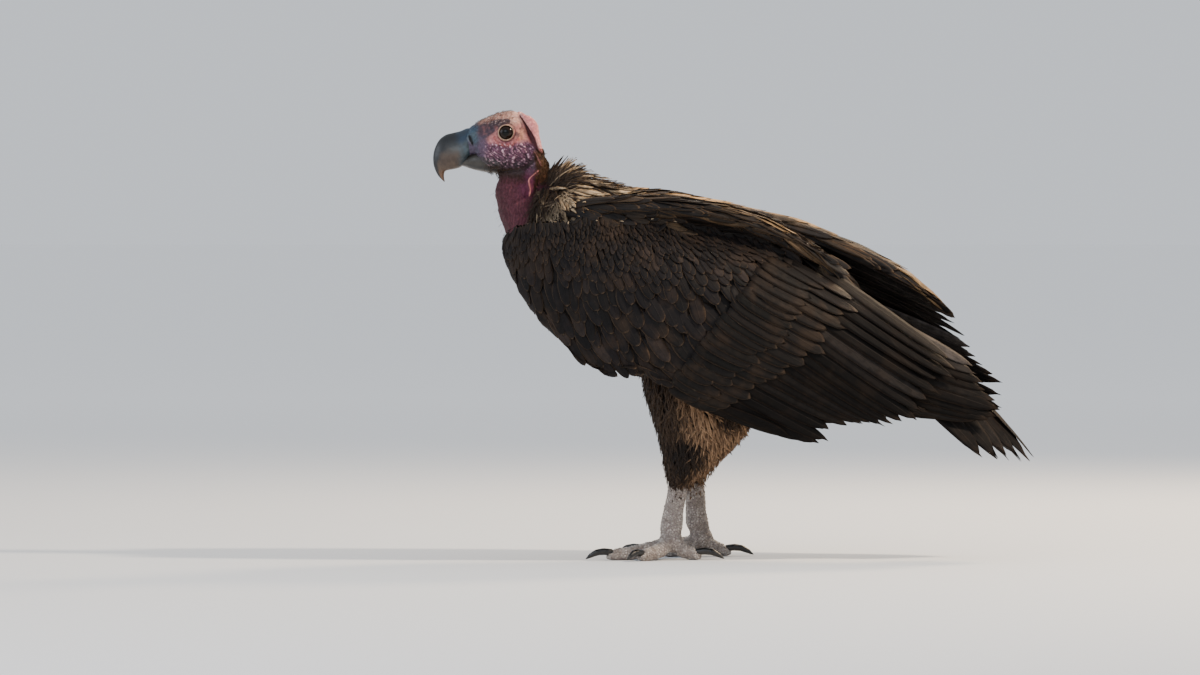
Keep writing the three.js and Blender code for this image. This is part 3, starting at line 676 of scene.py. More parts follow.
def faces_of(mesh):
    return [list(p.vertices) for p in mesh.polygons]


def mesh_piece(name, points, faces, material):
    mesh = bpy.data.meshes.new(name)
    mesh.from_pydata(np.asarray(points).tolist(), [], faces)
    mesh.materials.append(material)
    mesh.polygons.foreach_set("use_smooth", [True] * len(mesh.polygons))
    piece = bpy.data.objects.new(name, mesh)
    scene.collection.objects.link(piece)
    return piece


VALUE_FIELDS = {"FLOAT": "value", "FLOAT_VECTOR": "vector", "FLOAT_COLOR": "color"}


def set_values(piece, name, kind, values):
    """A named value at each of the piece's points, laid over any that is there already."""
    layer = piece.data.attributes.get(name) or piece.data.attributes.new(name, kind, "POINT")
    layer.data.foreach_set(VALUE_FIELDS[kind], np.asarray(values, dtype=np.float32).ravel())


def paint(piece, colours):
    set_values(piece, "markings", "FLOAT_COLOR", np.column_stack([colours, np.ones(len(colours))]))


def math_node(tree, operation, a, b=0.0):
    made = node(tree, "ShaderNodeMath", operation=operation)
    feed(tree, a, made.inputs[0])
    feed(tree, b, made.inputs[1])
    return made.outputs[0]


def ramp_value(tree, value, low, high, start=0.0, end=1.0):
    """The value eased from start to end while it goes from low to high."""
    made = node(tree, "ShaderNodeMapRange", interpolation_type="SMOOTHSTEP")
    ends = {"Value": value, "From Min": low, "From Max": high, "To Min": start, "To Max": end}
    for label, given in ends.items():
        feed(tree, given, made.inputs[label])
    return made.outputs["Result"]


def noise_of(tree, vector, scale, detail=3.0, roughness=0.6):
    made = node(tree, "ShaderNodeTexNoise")
    settings = {"Vector": vector, "Scale": scale, "Detail": detail, "Roughness": roughness}
    for label, given in settings.items():
        feed(tree, given, made.inputs[label])
    return made.outputs["Fac"]


def bump(tree, shader, height, strength, distance):
    made = node(tree, "ShaderNodeBump")
    for label, given in {"Strength": strength, "Distance": distance, "Height": height}.items():
        feed(tree, given, made.inputs[label])
    feed(tree, made.outputs["Normal"], shader.inputs["Normal"])


def patches_group():
    """Soft patches of soil, wear or dust over a surface, and the noise that draws them."""
    group = bpy.data.node_groups.new("patches", "ShaderNodeTree")
    for name in ("Scale", "Detail", "From", "To", "Least", "Most"):
        group.interface.new_socket(name=name, in_out="INPUT", socket_type="NodeSocketFloat")
    for name in ("Patches", "Noise"):
        group.interface.new_socket(name=name, in_out="OUTPUT", socket_type="NodeSocketFloat")
    given = node(group, "NodeGroupInput").outputs
    end = node(group, "NodeGroupOutput")
    place = node(group, "ShaderNodeTexCoord").outputs["Object"]
    spots = noise_of(group, place, given["Scale"], given["Detail"])
    eased = ramp_value(group, spots, given["From"], given["To"], given["Least"], given["Most"])
    feed(group, eased, end.inputs["Patches"])
    feed(group, spots, end.inputs["Noise"])
    return group


PATCHES = patches_group()


def patches(tree, scale, detail, low, high, least=0.0, most=1.0):
    """One material's own patches: how strong they are in each place, and their noise."""
    made = node(tree, "ShaderNodeGroup", node_tree=PATCHES)
    values = (scale, detail, low, high, least, most)
    for target, value in zip(made.inputs, values):
        target.default_value = value
    return made.outputs["Patches"], made.outputs["Noise"]


skin_material, tree, shader = new_material("bare_skin")
place = node(tree, "ShaderNodeTexCoord").outputs["Object"]
marked = node(tree, "ShaderNodeAttribute", attribute_name="markings").outputs["Color"]
mottled, mottle = patches(tree, 260, 4, 0.35, 0.62)
pores = node(tree, "ShaderNodeTexVoronoi", feature="DISTANCE_TO_EDGE")
pores.inputs["Scale"].default_value = 900
feed(tree, place, pores.inputs["Vector"])
dull = mixed(tree, mottled, marked, (0.62, 0.56, 0.58), "MULTIPLY")
cracked = mixed(tree, ramp_value(tree, pores.outputs["Distance"], 0.0, 0.16, 0.42, 0.0), dull,
                (0.42, 0.30, 0.32), "MULTIPLY")
feed(tree, cracked, shader.inputs["Base Color"])
shine = node(tree, "ShaderNodeAttribute", attribute_name="shine").outputs["Fac"]
wet = math_node(tree, "MULTIPLY", shine, ramp_value(tree, mottle, 0.3, 0.7, 0.66, 0.38))
feed(tree, math_node(tree, "SUBTRACT", 0.95, wet), shader.inputs["Roughness"])
shader.inputs["Specular IOR Level"].default_value = 0.45
height = math_node(tree, "ADD", ramp_value(tree, pores.outputs["Distance"], 0, 0.16), mottle)
bump(tree, shader, height, 0.5, 0.0005)

shells = [
    (core_points, core_faces), (head_points, faces_of(head_skin.data)),
    (leg_points, faces_of(leg_skin.data)), (roll_points, roll_faces),
]
skin_faces, first = [], 0
for points, faces in shells:
    skin_faces += [[first + i for i in face] for face in faces]
    first += len(points)
skin = mesh_piece("skin", np.vstack([points for points, _ in shells]), skin_faces, skin_material)
neck_root = smoothstep(8, 20, (core_points[:, 2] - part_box("neck")[0].z) / MM)
neck_root *= smoothstep(-0.27, -0.29, core_points[:, 0])
neck_root *= smoothstep(0.055, 0.042, np.abs(core_points[:, 1]))
core_colours = tinted(np.tile(PALETTE["under_coat"], (len(core_points), 1)), PALETTE, [(neck_root, "neck")])
leg_colours = np.tile(PALETTE["leg"], (len(leg_points), 1))
paint(skin, np.vstack([core_colours, head_colours, leg_colours, roll_colours]))
shine = [
    np.zeros(len(core_points)), 1 - 0.85 * neck_mask,
    np.full(len(leg_points), 0.5), np.ones(len(roll_points)),
]
set_values(skin, "shine", "FLOAT", np.concatenate(shine))
loose = bmesh.new()
loose.from_mesh(skin.data)
bmesh.ops.delete(loose, geom=[v for v in loose.verts if not v.link_faces], context="VERTS")
loose.to_mesh(skin.data)
loose.free()
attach(skin, "root")
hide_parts(*[n for n in FORM_NODES if not n.startswith("scapulars")], "cere")
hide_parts(*[n for n in leg_nodes if not n.startswith("tarsus")])
for spare in (core, form):
    bpy.data.objects.remove(spare)
for ground, points in ((head_skin, head_points), (leg_skin, leg_points)):
    ground.data.vertices.foreach_set("co", points.ravel())
    ground.data.update()
    scene.collection.objects.unlink(ground)

# ---- Bill ----
# Two horn shells over bone: the upper one deep and hooked, with a sharp cutting edge, the lower one
# shallow and closing inside it. Both go in under the cere and the skin of the face.

# Each station: backward and up from the hook's tip corner of the box, for the ridge and for the
# cutting edge, then the half width. All in millimetres.
UPPER_BILL = [
    (61, 76, 58, 42, 13.0),
    (49, 78, 51, 34, 20.8),
    (37, 73.5, 45, 25, 21.0),
    (26, 70.8, 38, 19.6, 19.8),
    (15, 67.6, 32, 17.4, 18.2),
    (5.2, 59.5, 25.5, 16.0, 16.2),
    (-1.2, 46.5, 19.5, 15.0, 13.6),
    (-3.4, 33.5, 15.8, 13.8, 10.6),
    (-2.0, 20.5, 13.6, 11.0, 7.4),
    (3.6, 7.6, 13.0, 5.0, 4.2),
    (13.2, -2.6, 14.2, -2.0, 1.0),
]
LOWER_BILL = [
    (92, 42, 96, 9.5, 20.5),
    (80, 43, 82, 11.5, 21.4),
    (66, 43, 68, 13.5, 21.4),
    (54, 40, 55, 16.5, 19.6),
    (42, 32.5, 43, 20.5, 14.0),
    (33, 25.5, 34, 22.5, 5.0),
]
BILL_SIDES = 44
UPPER_RINGS, LOWER_RINGS = 64, 40
BILL_RIB = [(31, 27), (43, 34), (58, 38)]      # a faint groove from the nostril's foot
HORN = {name: linear(code) for name, code in {
    "ridge": "#080c11", "side": "#363d3c", "low": "#4d3b2e", "tip": "#6f4e35", "base": "#34444c",
    "base_top": "#152b3f", "lower": "#37342f", "line": "#1c1d22",
}.items()}


def loft_faces(rings, sides):
    """Quads between the rings of a loft, then its two caps."""
    faces = []
    for i in range(rings - 1):
        for j in range(sides):
            k = (j + 1) % sides
            a, b = i * sides, (i + 1) * sides
            faces.append([a + j, b + j, b + k, a + k])
    faces.append(list(range(sides)))
    faces.append([(rings - 1) * sides + j for j in reversed(range(sides))])
    return faces


def upper_section(angle):
    up, out = np.cos(angle), np.sin(angle)
    return up, np.sign(out) * np.abs(out) ** 0.82 * (0.93 - 0.20 * up - 0.10 * up ** 2)


def lower_section(angle):
    up, out = np.cos(angle), np.sin(angle)
    return up, np.sign(out) * np.abs(out) ** 0.9 * (0.95 + 0.05 * up)


horn_material, tree, shader = new_material("bill_horn")
place = node(tree, "ShaderNodeTexCoord").outputs["Object"]
marked = node(tree, "ShaderNodeAttribute", attribute_name="markings").outputs["Color"]
clouds, cloudy = patches(tree, 85, 4, 0.40, 0.66, 0.0, 0.75)
scratches = node(tree, "ShaderNodeMapping")
scratches.inputs["Scale"].default_value = (90, 90, 260)
scratches.inputs["Rotation"].default_value = (0, 0.9, 0)
feed(tree, place, scratches.inputs["Vector"])
fibres = noise_of(tree, scratches.outputs[0], 2.2, 4)
worn = mixed(tree, clouds, marked, (0.50, 0.46, 0.42), "MULTIPLY")
feed(tree, worn, shader.inputs["Base Color"])
feed(tree, ramp_value(tree, cloudy, 0.3, 0.7, 0.34, 0.50), shader.inputs["Roughness"])
bump(tree, shader, fibres, 0.08, 0.0003)

bill_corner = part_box("bill_upper")[0]


def bill_shell(stations, rings, section):
    """One shell's points in millimetres from the corner, and each point's height in its ring. The
    section gives the height and width shares for the angles round a ring."""
    curve = smooth_line(stations, steps=24)
    pick = np.linspace(0, len(curve) - 1, rings)
    rows = np.array([np.interp(pick, np.arange(len(curve)), column) for column in curve.T]).T
    up, out = section(2 * math.pi * np.arange(BILL_SIDES) / BILL_SIDES)
    middle = (rows[:, :2] + rows[:, 2:4]) / 2
    half = (rows[:, :2] - rows[:, 2:4]) / 2
    points = np.empty((rings, BILL_SIDES, 3))
    points[..., 0] = middle[:, :1] + half[:, :1] * up
    points[..., 1] = rows[:, 4:5] * out
    points[..., 2] = middle[:, 1:2] + half[:, 1:2] * up
    return points.reshape(-1, 3), np.tile(up, rings)


def horn_piece(name, places, rings, marks, plain):
    placed = places * MM + np.array([bill_corner.x, 0, bill_corner.z])
    horn = mesh_piece(name, placed, outward(places, loft_faces(rings, BILL_SIDES)), horn_material)
    paint(horn, tinted(np.tile(HORN[plain], (len(places), 1)), HORN, marks))
    return horn


upper, upper_share = bill_shell(UPPER_BILL, UPPER_RINGS, upper_section)
back, above = upper[:, 0], upper[:, 2]
cloud = field(upper, 7.0, 5)
rib_gap = near_line(upper, BILL_RIB)[0]
upper_marks = [
    (smoothstep(58, 30, above + 5 * cloud) * 0.9, "low"),
    (smoothstep(20, 4, above + 3 * cloud), "tip"),
    (smoothstep(30, 45, back + 3 * cloud), "base"),
    (smoothstep(-0.02, 0.52, upper_share + 0.12 * cloud), "ridge"),
    (smoothstep(26, 44, back + 3 * cloud) * smoothstep(0.0, 0.5, upper_share), "base_top"),
    (smoothstep(-0.93, -1.0, upper_share) * 0.7, "line"),
    (bulge(rib_gap, 1.3) * 0.5, "line"),
]
upper[:, 1] *= 1 - 0.05 * bulge(rib_gap, 1.4)
lower, lower_share = bill_shell(LOWER_BILL, LOWER_RINGS, lower_section)
lower_marks = [
    (smoothstep(0.86, 0.98, lower_share) * 0.6, "line"),
    (smoothstep(-0.15, -0.75, lower_share) * 0.9, "line"),
]
bill_upper = horn_piece("bill_upper_horn", upper, UPPER_RINGS, upper_marks, "side")
bill_lower = horn_piece("bill_lower_horn", lower, LOWER_RINGS, lower_marks, "lower")
for horn, cad_node in ((bill_upper, "bill_upper"), (bill_lower, "bill_lower")):
    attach(horn, "root")
    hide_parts(cad_node)

# ---- Eyes ----
# Each eyeball is a moist ball with a clear bulge over a near-black brown iris. It sits in the
# socket between the lids.
EYE_RINGS, EYE_SIDES = 36, 48
IRIS, PUPIL = 9.4, 5.2
CORNEA_RISE = 0.7
CORNEA_EDGE = 1.5          # radians from the middle of the pupil
BALL_FIT = 0.995           # the ball is this much smaller, so that it stays inside the lids
BALL_COLOUR, IRIS_COLOUR, PUPIL_COLOUR = linear("#120a07"), linear("#1d0f08"), linear("#020202")

eye_material, tree, shader = new_material("eye")
marked = node(tree, "ShaderNodeAttribute", attribute_name="markings").outputs["Color"]
flecks, _ = patches(tree, 900, 3, 0.35, 0.65, 0.0, 0.5)
feed(tree, mixed(tree, flecks, marked, (0.35, 0.3, 0.25), "MULTIPLY"), shader.inputs["Base Color"])
shader.inputs["Roughness"].default_value = 0.05
shader.inputs["IOR"].default_value = 1.36
shader.inputs["Specular IOR Level"].default_value = 0.35
for name, side in SIDES.items():
    low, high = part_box(f"eye_{name}")
    middle = np.array((low + high) / 2)
    axis = eye_axis(side)
    across = np.array([axis[1], -axis[0], 0]) * side
    polar = math.pi * np.arange(1, EYE_RINGS) / EYE_RINGS
    turn = 2 * math.pi * np.arange(EYE_SIDES) / EYE_SIDES
    rim = EYE_RADIUS * np.sin(polar)
    cornea = CORNEA_RISE * (polar < CORNEA_EDGE) * np.clip(1 - (rim / IRIS) ** 2, 0, 1)
    rise = EYE_RADIUS * np.cos(polar) + cornea
    circle = np.cos(turn)[:, None] * across + np.sin(turn)[:, None] * np.array([0, 0, 1])
    ball = (rim[:, None, None] * circle + rise[:, None, None] * axis).reshape(-1, 3) * BALL_FIT
    points = np.vstack([ball, (EYE_RADIUS + CORNEA_RISE) * axis, -EYE_RADIUS * axis]) * MM + middle
    faces = loft_faces(EYE_RINGS - 1, EYE_SIDES)[:-2]
    last = (EYE_RINGS - 2) * EYE_SIDES
    for j in range(EYE_SIDES):
        k = (j + 1) % EYE_SIDES
        faces += [[len(ball), j, k], [len(ball) + 1, last + k, last + j]]
    eye = mesh_piece(f"eyeball_{name}", points, outward(points, faces), eye_material)
    shades = np.tile(BALL_COLOUR, (len(points), 1))
    from_axis = np.concatenate([np.repeat(rim, EYE_SIDES), [0, 0]])
    front = np.concatenate([np.repeat(rise > 0, EYE_SIDES), [True, False]])
    shades[(from_axis < IRIS) & front] = IRIS_COLOUR
    shades[(from_axis < PUPIL) & front] = PUPIL_COLOUR
    paint(eye, shades)
    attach(eye, "root")
    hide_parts(f"eye_{name}")

# ---- Wing coverts ----
# Small feathers in overlapping rows over the folded wing: tiny along the forearm's upper edge, long
# and narrow down the front edge, larger towards the flight feathers. Each is one closed vane.
VANE_ACROSS = np.array([-1, -0.55, 0, 0.55, 1, 0.55, 0, -0.55])
VANE_UNDER = np.array([0, 0, 0, 0, 0, 1, 1, 1])
VANE_ROWS = np.array([0, 0.14, 0.32, 0.50, 0.66, 0.80, 0.90, 0.965, 1.0])
PATCH = 0.003              # each feather's place on the bake map
ROUND_TIP = np.array([0.30, 0.72, 0.95, 1.0, 0.95, 0.81, 0.59, 0.34, 0.08])
STEP_BEND = 0.4            # share of a step that a feather may bend by to follow the form
SAME_WAY = 0.3             # where two normals agree less than this, an edge lies between them
STIFFNESS = 2              # the weight of a feather's own normal against that of the form


def area_places(points, faces, flat, wanted, count, draw):
    """Random places on the wanted faces, each with its normal and its place on the unwrap."""
    corners = points[faces]
    crossed = np.cross(corners[:, 1] - corners[:, 0], corners[:, 2] - corners[:, 0])
    areas = np.linalg.norm(crossed, axis=1)
    share = areas * wanted
    chosen = draw.choice(len(faces), count, p=share / share.sum())
    a, b = draw.random((2, count, 1))
    over = (a + b) > 1
    a, b = np.where(over, 1 - a, a), np.where(over, 1 - b, b)
    weights = np.stack([1 - a - b, a, b], 1)
    places = (corners[chosen] * weights).sum(1)
    return places, crossed[chosen] / areas[chosen, None], (flat[chosen] * weights).sum(1)


def spaced(points, gaps):
    """Indices of the points that are kept: each at least its gap from those kept before it."""
    cells = np.floor(points / gaps.max()).astype(int)
    steps = list(itertools.product((-1, 0, 1), repeat=3))
    kept, grid = [], {}
    for i, (cell, point, gap) in enumerate(zip(cells.tolist(), points.tolist(), gaps.tolist())):
        around = ((cell[0] + a, cell[1] + b, cell[2] + c) for a, b, c in steps)
        if all(math.dist(point, other) >= gap for near in around for other in grid.get(near, ())):
            kept.append(i)
            grid.setdefault(tuple(cell), []).append(point)
    return np.array(kept)


def laid_lines(tree, roots, headings, lengths, steps):
    """Centre lines that follow a form from their roots. A line bends with the form by small steps
    only, so past an edge it runs straight on. Also gives the form's normal along each line."""
    lines = np.empty((len(roots), steps + 1, 3))
    normals = np.empty_like(lines)
    for i in range(len(roots)):
        here, normal, _, _ = tree.find_nearest(roots[i])
        ahead = Vector(headings[i])
        ahead -= ahead.dot(normal) * normal
        ahead.normalize()
        stride = lengths[i] / steps
        for k in range(steps + 1):
            lines[i, k] = here
            normals[i, k] = normal
            reach = here + ahead * stride
            place, facing, _, gap = tree.find_nearest(reach)
            if gap > stride * STEP_BEND or facing.dot(normal) < SAME_WAY:
                place, facing = reach, normal
            facing = (facing + STIFFNESS * normal).normalized()
            ahead = place - here
            ahead -= ahead.dot(facing) * facing
            ahead.normalize()
            here, normal = place, facing
    return lines, normals


def unit(vectors):
    return vectors / (np.linalg.norm(vectors, axis=-1, keepdims=True) + 1e-12)


def at_rows(lines, rows):
    """The lines' values at the given shares of their length."""
    last = lines.shape[1] - 1
    low = np.minimum((rows * last).astype(int), last - 1)
    part = (rows * last - low)[None, :, None]
    return lines[:, low] * (1 - part) + lines[:, low + 1] * part


def vanes(lines, normals, half_widths, outline, rise, *, ring=(VANE_ACROSS, VANE_UNDER), cup=0.08,
          roll=0.0, thick=0.4 * MM, fray=0.0, draw=None):
    """Closed vanes along the lines: points (feather, row, place round the vane) and faces."""
    ring_across, ring_under = ring
    count, rows = lines.shape[:2]
    along = unit(np.gradient(lines, axis=1))
    normals = unit(normals - (normals * along).sum(-1, keepdims=True) * along)
    sides = np.cross(normals, along)
    roll = np.broadcast_to(roll, (count,))[:, None, None]
    side = sides * np.cos(roll) + normals * np.sin(roll)
    facing = normals * np.cos(roll) - sides * np.sin(roll)
    width = half_widths[:, None] * outline
    across = ring_across * width[..., None]
    under = ring_under * thick
    height = rise[..., None] - cup * ring_across ** 2 * width[..., None] - under
    points = (lines[:, :, None] + side[:, :, None] * across[..., None]
              + facing[:, :, None] * height[..., None])
    if fray:
        levels, place = np.unique(ring_across, return_inverse=True)
        shift = draw.random((count, len(levels)))[:, place] * fray
        late = np.linspace(0, 1, rows) ** 5
        length = np.linalg.norm(lines[:, -1] - lines[:, 0], axis=1)
        back = late[None, :, None] * (shift * length[:, None])[:, None, :]
        points -= along[:, :, None] * back[..., None]
    sides_count = len(ring_across)
    one = loft_faces(rows, sides_count)
    one = outward(points[0].reshape(-1, 3), one)
    firsts = np.arange(count) * rows * sides_count
    quads = np.array(one[:-2])[None] + firsts[:, None, None]
    caps = np.array(one[-2:])[None] + firsts[:, None, None]
    return points, quads.reshape(-1, 4).tolist() + caps.reshape(-1, sides_count).tolist()


def set_uv(piece, name, values):
    layer = piece.data.uv_layers.new(name=name)
    order = np.empty(len(piece.data.loops), dtype=int)
    piece.data.loops.foreach_get("vertex_index", order)
    layer.data.foreach_set("uv", values[order].astype(np.float32).ravel())


def feather_piece(name, points, faces, rows, material, flat, tint, tone,
                  ring_across=VANE_ACROSS, patch=(PATCH, PATCH)):
    """A coat piece from vanes, with its marks' coordinates, its bake map and its shades. Flat gives
    each vane's place on the bake map."""
    count, row_count, ring = points.shape[:3]
    piece = mesh_piece(name, points.reshape(-1, 3), faces, material)
    across = np.broadcast_to((ring_across + 1) / 2, (count, row_count, ring))
    along = np.broadcast_to(rows[None, :, None], (count, row_count, ring))
    marks = np.stack([across, along], -1)
    bake = flat[:, None, None] + (marks - 0.5) * np.array(patch)
    set_uv(piece, "OFBake", bake.reshape(-1, 2))
    marks = marks.reshape(-1, 2)
    set_uv(piece, "vane", marks)
    each = row_count * ring
    set_values(piece, "tint", "FLOAT", np.repeat(tint, each))
    set_values(piece, "tone", "FLOAT", np.repeat(tone, each))
    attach(piece, "root")
    return piece


def vane_group():
    """Marks of one vane from its own coordinates: pale edge, shaft, and streaks of its barbs."""
    group = bpy.data.node_groups.new("vane_marks", "ShaderNodeTree")
    for name in ("Tint", "Barbs"):
        group.interface.new_socket(name=name, in_out="INPUT", socket_type="NodeSocketFloat")
    for name in ("Edge", "Shaft", "Streaks", "Along"):
        group.interface.new_socket(name=name, in_out="OUTPUT", socket_type="NodeSocketFloat")
    start = node(group, "NodeGroupInput")
    end = node(group, "NodeGroupOutput")
    parts = node(group, "ShaderNodeSeparateXYZ")
    feed(group, node(group, "ShaderNodeUVMap", uv_map="vane").outputs[0], parts.inputs[0])
    centred = math_node(group, "SUBTRACT", math_node(group, "MULTIPLY", parts.outputs[0], 2.0), 1.0)
    out = math_node(group, "ABSOLUTE", centred)
    swept = math_node(group, "SUBTRACT", parts.outputs[1], math_node(group, "MULTIPLY", out, 0.16))
    joined = node(group, "ShaderNodeCombineXYZ")
    feed(group, math_node(group, "MULTIPLY", swept, start.outputs["Barbs"]), joined.inputs[0])
    feed(group, math_node(group, "MULTIPLY", centred, 1.1), joined.inputs[1])
    feed(group, math_node(group, "MULTIPLY", start.outputs["Tint"], 40.0), joined.inputs[2])
    streaks = noise_of(group, joined.outputs[0], 1.0, 3.0, 0.65)
    ragged = math_node(group, "MULTIPLY", math_node(group, "SUBTRACT", streaks, 0.5), 0.45)
    rim = ramp_value(group, math_node(group, "ADD", out, ragged), 0.78, 0.99)
    worn = math_node(group, "ADD", parts.outputs[1], math_node(group, "MULTIPLY", ragged, 0.3))
    tip = ramp_value(group, worn, 0.93, 1.0)
    feed(group, math_node(group, "MAXIMUM", rim, tip), end.inputs["Edge"])
    feed(group, ramp_value(group, out, 0.085, 0.02), end.inputs["Shaft"])
    feed(group, streaks, end.inputs["Streaks"])
    feed(group, parts.outputs[1], end.inputs["Along"])
    return group


VANE_MARKS = vane_group()
DUST = linear("#5c4632")


def feather_material(name, dark, light, toned, edge, shaft, *, barbs=34.0, edge_share=0.6,
                     plain_edge=None, shaft_share=0.4, roughness=(0.55, 0.8), gloss=0.20,
                     tone_from=-1.0, least_tone=0.55, dust=0.12):
    """Vanes between two shades, drawn towards a third by their tone, with edges and shafts. The
    tone is patchy down to its least share, and may begin part way along. A plain edge is the edge
    of a feather without tone."""
    material, tree, shader = new_material(name)
    tint = node(tree, "ShaderNodeAttribute", attribute_name="tint").outputs["Fac"]
    tone = node(tree, "ShaderNodeAttribute", attribute_name="tone").outputs["Fac"]
    marks = node(tree, "ShaderNodeGroup", node_tree=VANE_MARKS)
    feed(tree, barbs, marks.inputs["Barbs"])
    feed(tree, tint, marks.inputs["Tint"])
    patchy, _ = patches(tree, 70, 2, 0.38, 0.58, least_tone)
    begun = ramp_value(tree, marks.outputs["Along"], tone_from, tone_from + 0.2)
    tone = math_node(tree, "MULTIPLY", math_node(tree, "MULTIPLY", tone, patchy), begun)
    if plain_edge is not None:
        added = math_node(tree, "MULTIPLY", tone, edge_share - plain_edge)
        edge_share = math_node(tree, "ADD", added, plain_edge)
    edges = math_node(tree, "MULTIPLY", marks.outputs["Edge"], edge_share)
    shafts = math_node(tree, "MULTIPLY", marks.outputs["Shaft"], shaft_share)
    shaded = ramp_value(tree, marks.outputs["Streaks"], 0.34, 0.66, 0.75, 0.0)
    dusty, _ = patches(tree, 26, 3, 0.45, 0.68, 0.0, dust)
    colour = mixed(tree, tint, linear(dark), linear(light))
    colour = mixed(tree, tone, colour, linear(toned))
    colour = mixed(tree, shaded, colour, (0.42, 0.42, 0.45), "MULTIPLY")
    colour = mixed(tree, edges, colour, linear(edge))
    colour = mixed(tree, shafts, colour, linear(shaft))
    feed(tree, mixed(tree, dusty, colour, DUST), shader.inputs["Base Color"])
    feed(tree, ramp_value(tree, marks.outputs["Streaks"], 0.3, 0.7, *roughness), shader.inputs["Roughness"])
    shader.inputs["Specular IOR Level"].default_value = gloss
    raised = math_node(tree, "ADD", marks.outputs["Streaks"], marks.outputs["Shaft"])
    bump(tree, shader, raised, 0.6, 0.0006)
    return material


covert_material = feather_material("covert_vanes", "#0c0a0a", "#161213", "#3a302b", "#594838", "#080606",
                                   edge_share=0.5, gloss=0.16)

# Lie of the wing's feathers in the side view: backward and up as shares of the wing's box, and
# the heading in degrees, 0 backward and -90 down.
WING_LIE = [
    (0.01, 0.81, -80), (0.05, 0.62, -66), (0.13, 0.39, -58), (0.26, 0.18, -50), (0.35, 0.12, -42),
    (0.11, 0.89, -88), (0.16, 0.69, -78), (0.24, 0.46, -66), (0.33, 0.92, -86), (0.33, 0.66, -80),
    (0.37, 0.31, -60), (0.55, 0.94, -78), (0.55, 0.66, -72), (0.52, 0.35, -58), (0.50, 0.10, -38),
    (0.72, 0.92, -62), (0.76, 0.69, -58), (0.72, 0.39, -46), (0.68, 0.08, -34), (0.94, 0.77, -46),
    (0.89, 0.46, -40), (0.98, 0.16, -33),
]


def box_of(nodes):
    boxes = [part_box(n) for n in nodes]
    low = np.min([b[0] for b in boxes], axis=0)
    high = np.max([b[1] for b in boxes], axis=0)
    return low, high


def share_of(spots, low, high):
    """How far back and how far up the places lie in a box, as shares of it."""
    return (spots[:, 0] - low[0]) / (high[0] - low[0]), (spots[:, 2] - low[2]) / (high[2] - low[2])


def side_heading(angles):
    """Headings in the side view from angles in degrees."""
    angles = np.radians(angles)
    return np.stack([np.cos(angles), np.zeros(len(angles)), np.sin(angles)], 1)


def lie_at(spots, low, high, table):
    """Headings in the side view, blended from the table's nearest rows."""
    table = np.array(table)
    shares = np.stack(share_of(spots, low, high), 1)
    gaps = ((shares[:, None] - table[None, :, :2]) ** 2).sum(-1) + 1e-4
    weights = gaps ** -1.6
    angles = np.radians(table[:, 2])
    back, up = (weights * np.cos(angles)).sum(1), (weights * np.sin(angles)).sum(1)
    return unit(np.stack([back, np.zeros(len(spots)), up], 1))


def uncovered(points, normals, reach):
    """True where nothing of the form stands before the point within the reach."""
    return np.array([
        form_tree.ray_cast(Vector(p) + Vector(n) * 2 * MM, n, reach)[0] is None
        for p, n in zip(points, normals)
    ])


WIDEST = cad_box[1][1] + 2 * MM
LEAST_OVERHANG = 7 * MM
# How much the feathers of one coat differ: as shares of their length and of their half width, then
# in millimetres of rise and in radians of roll.
LENGTHS_VARY, HALVES_VARY = (0.86, 1.12), (0.88, 1.12)
RISE_VARIES, ROLL_VARIES = 0.2, 0.05


def per_root(value, spots):
    """A number for all roots, or one each from a function of the roots."""
    return value(spots) if callable(value) else np.full(len(spots), float(value))


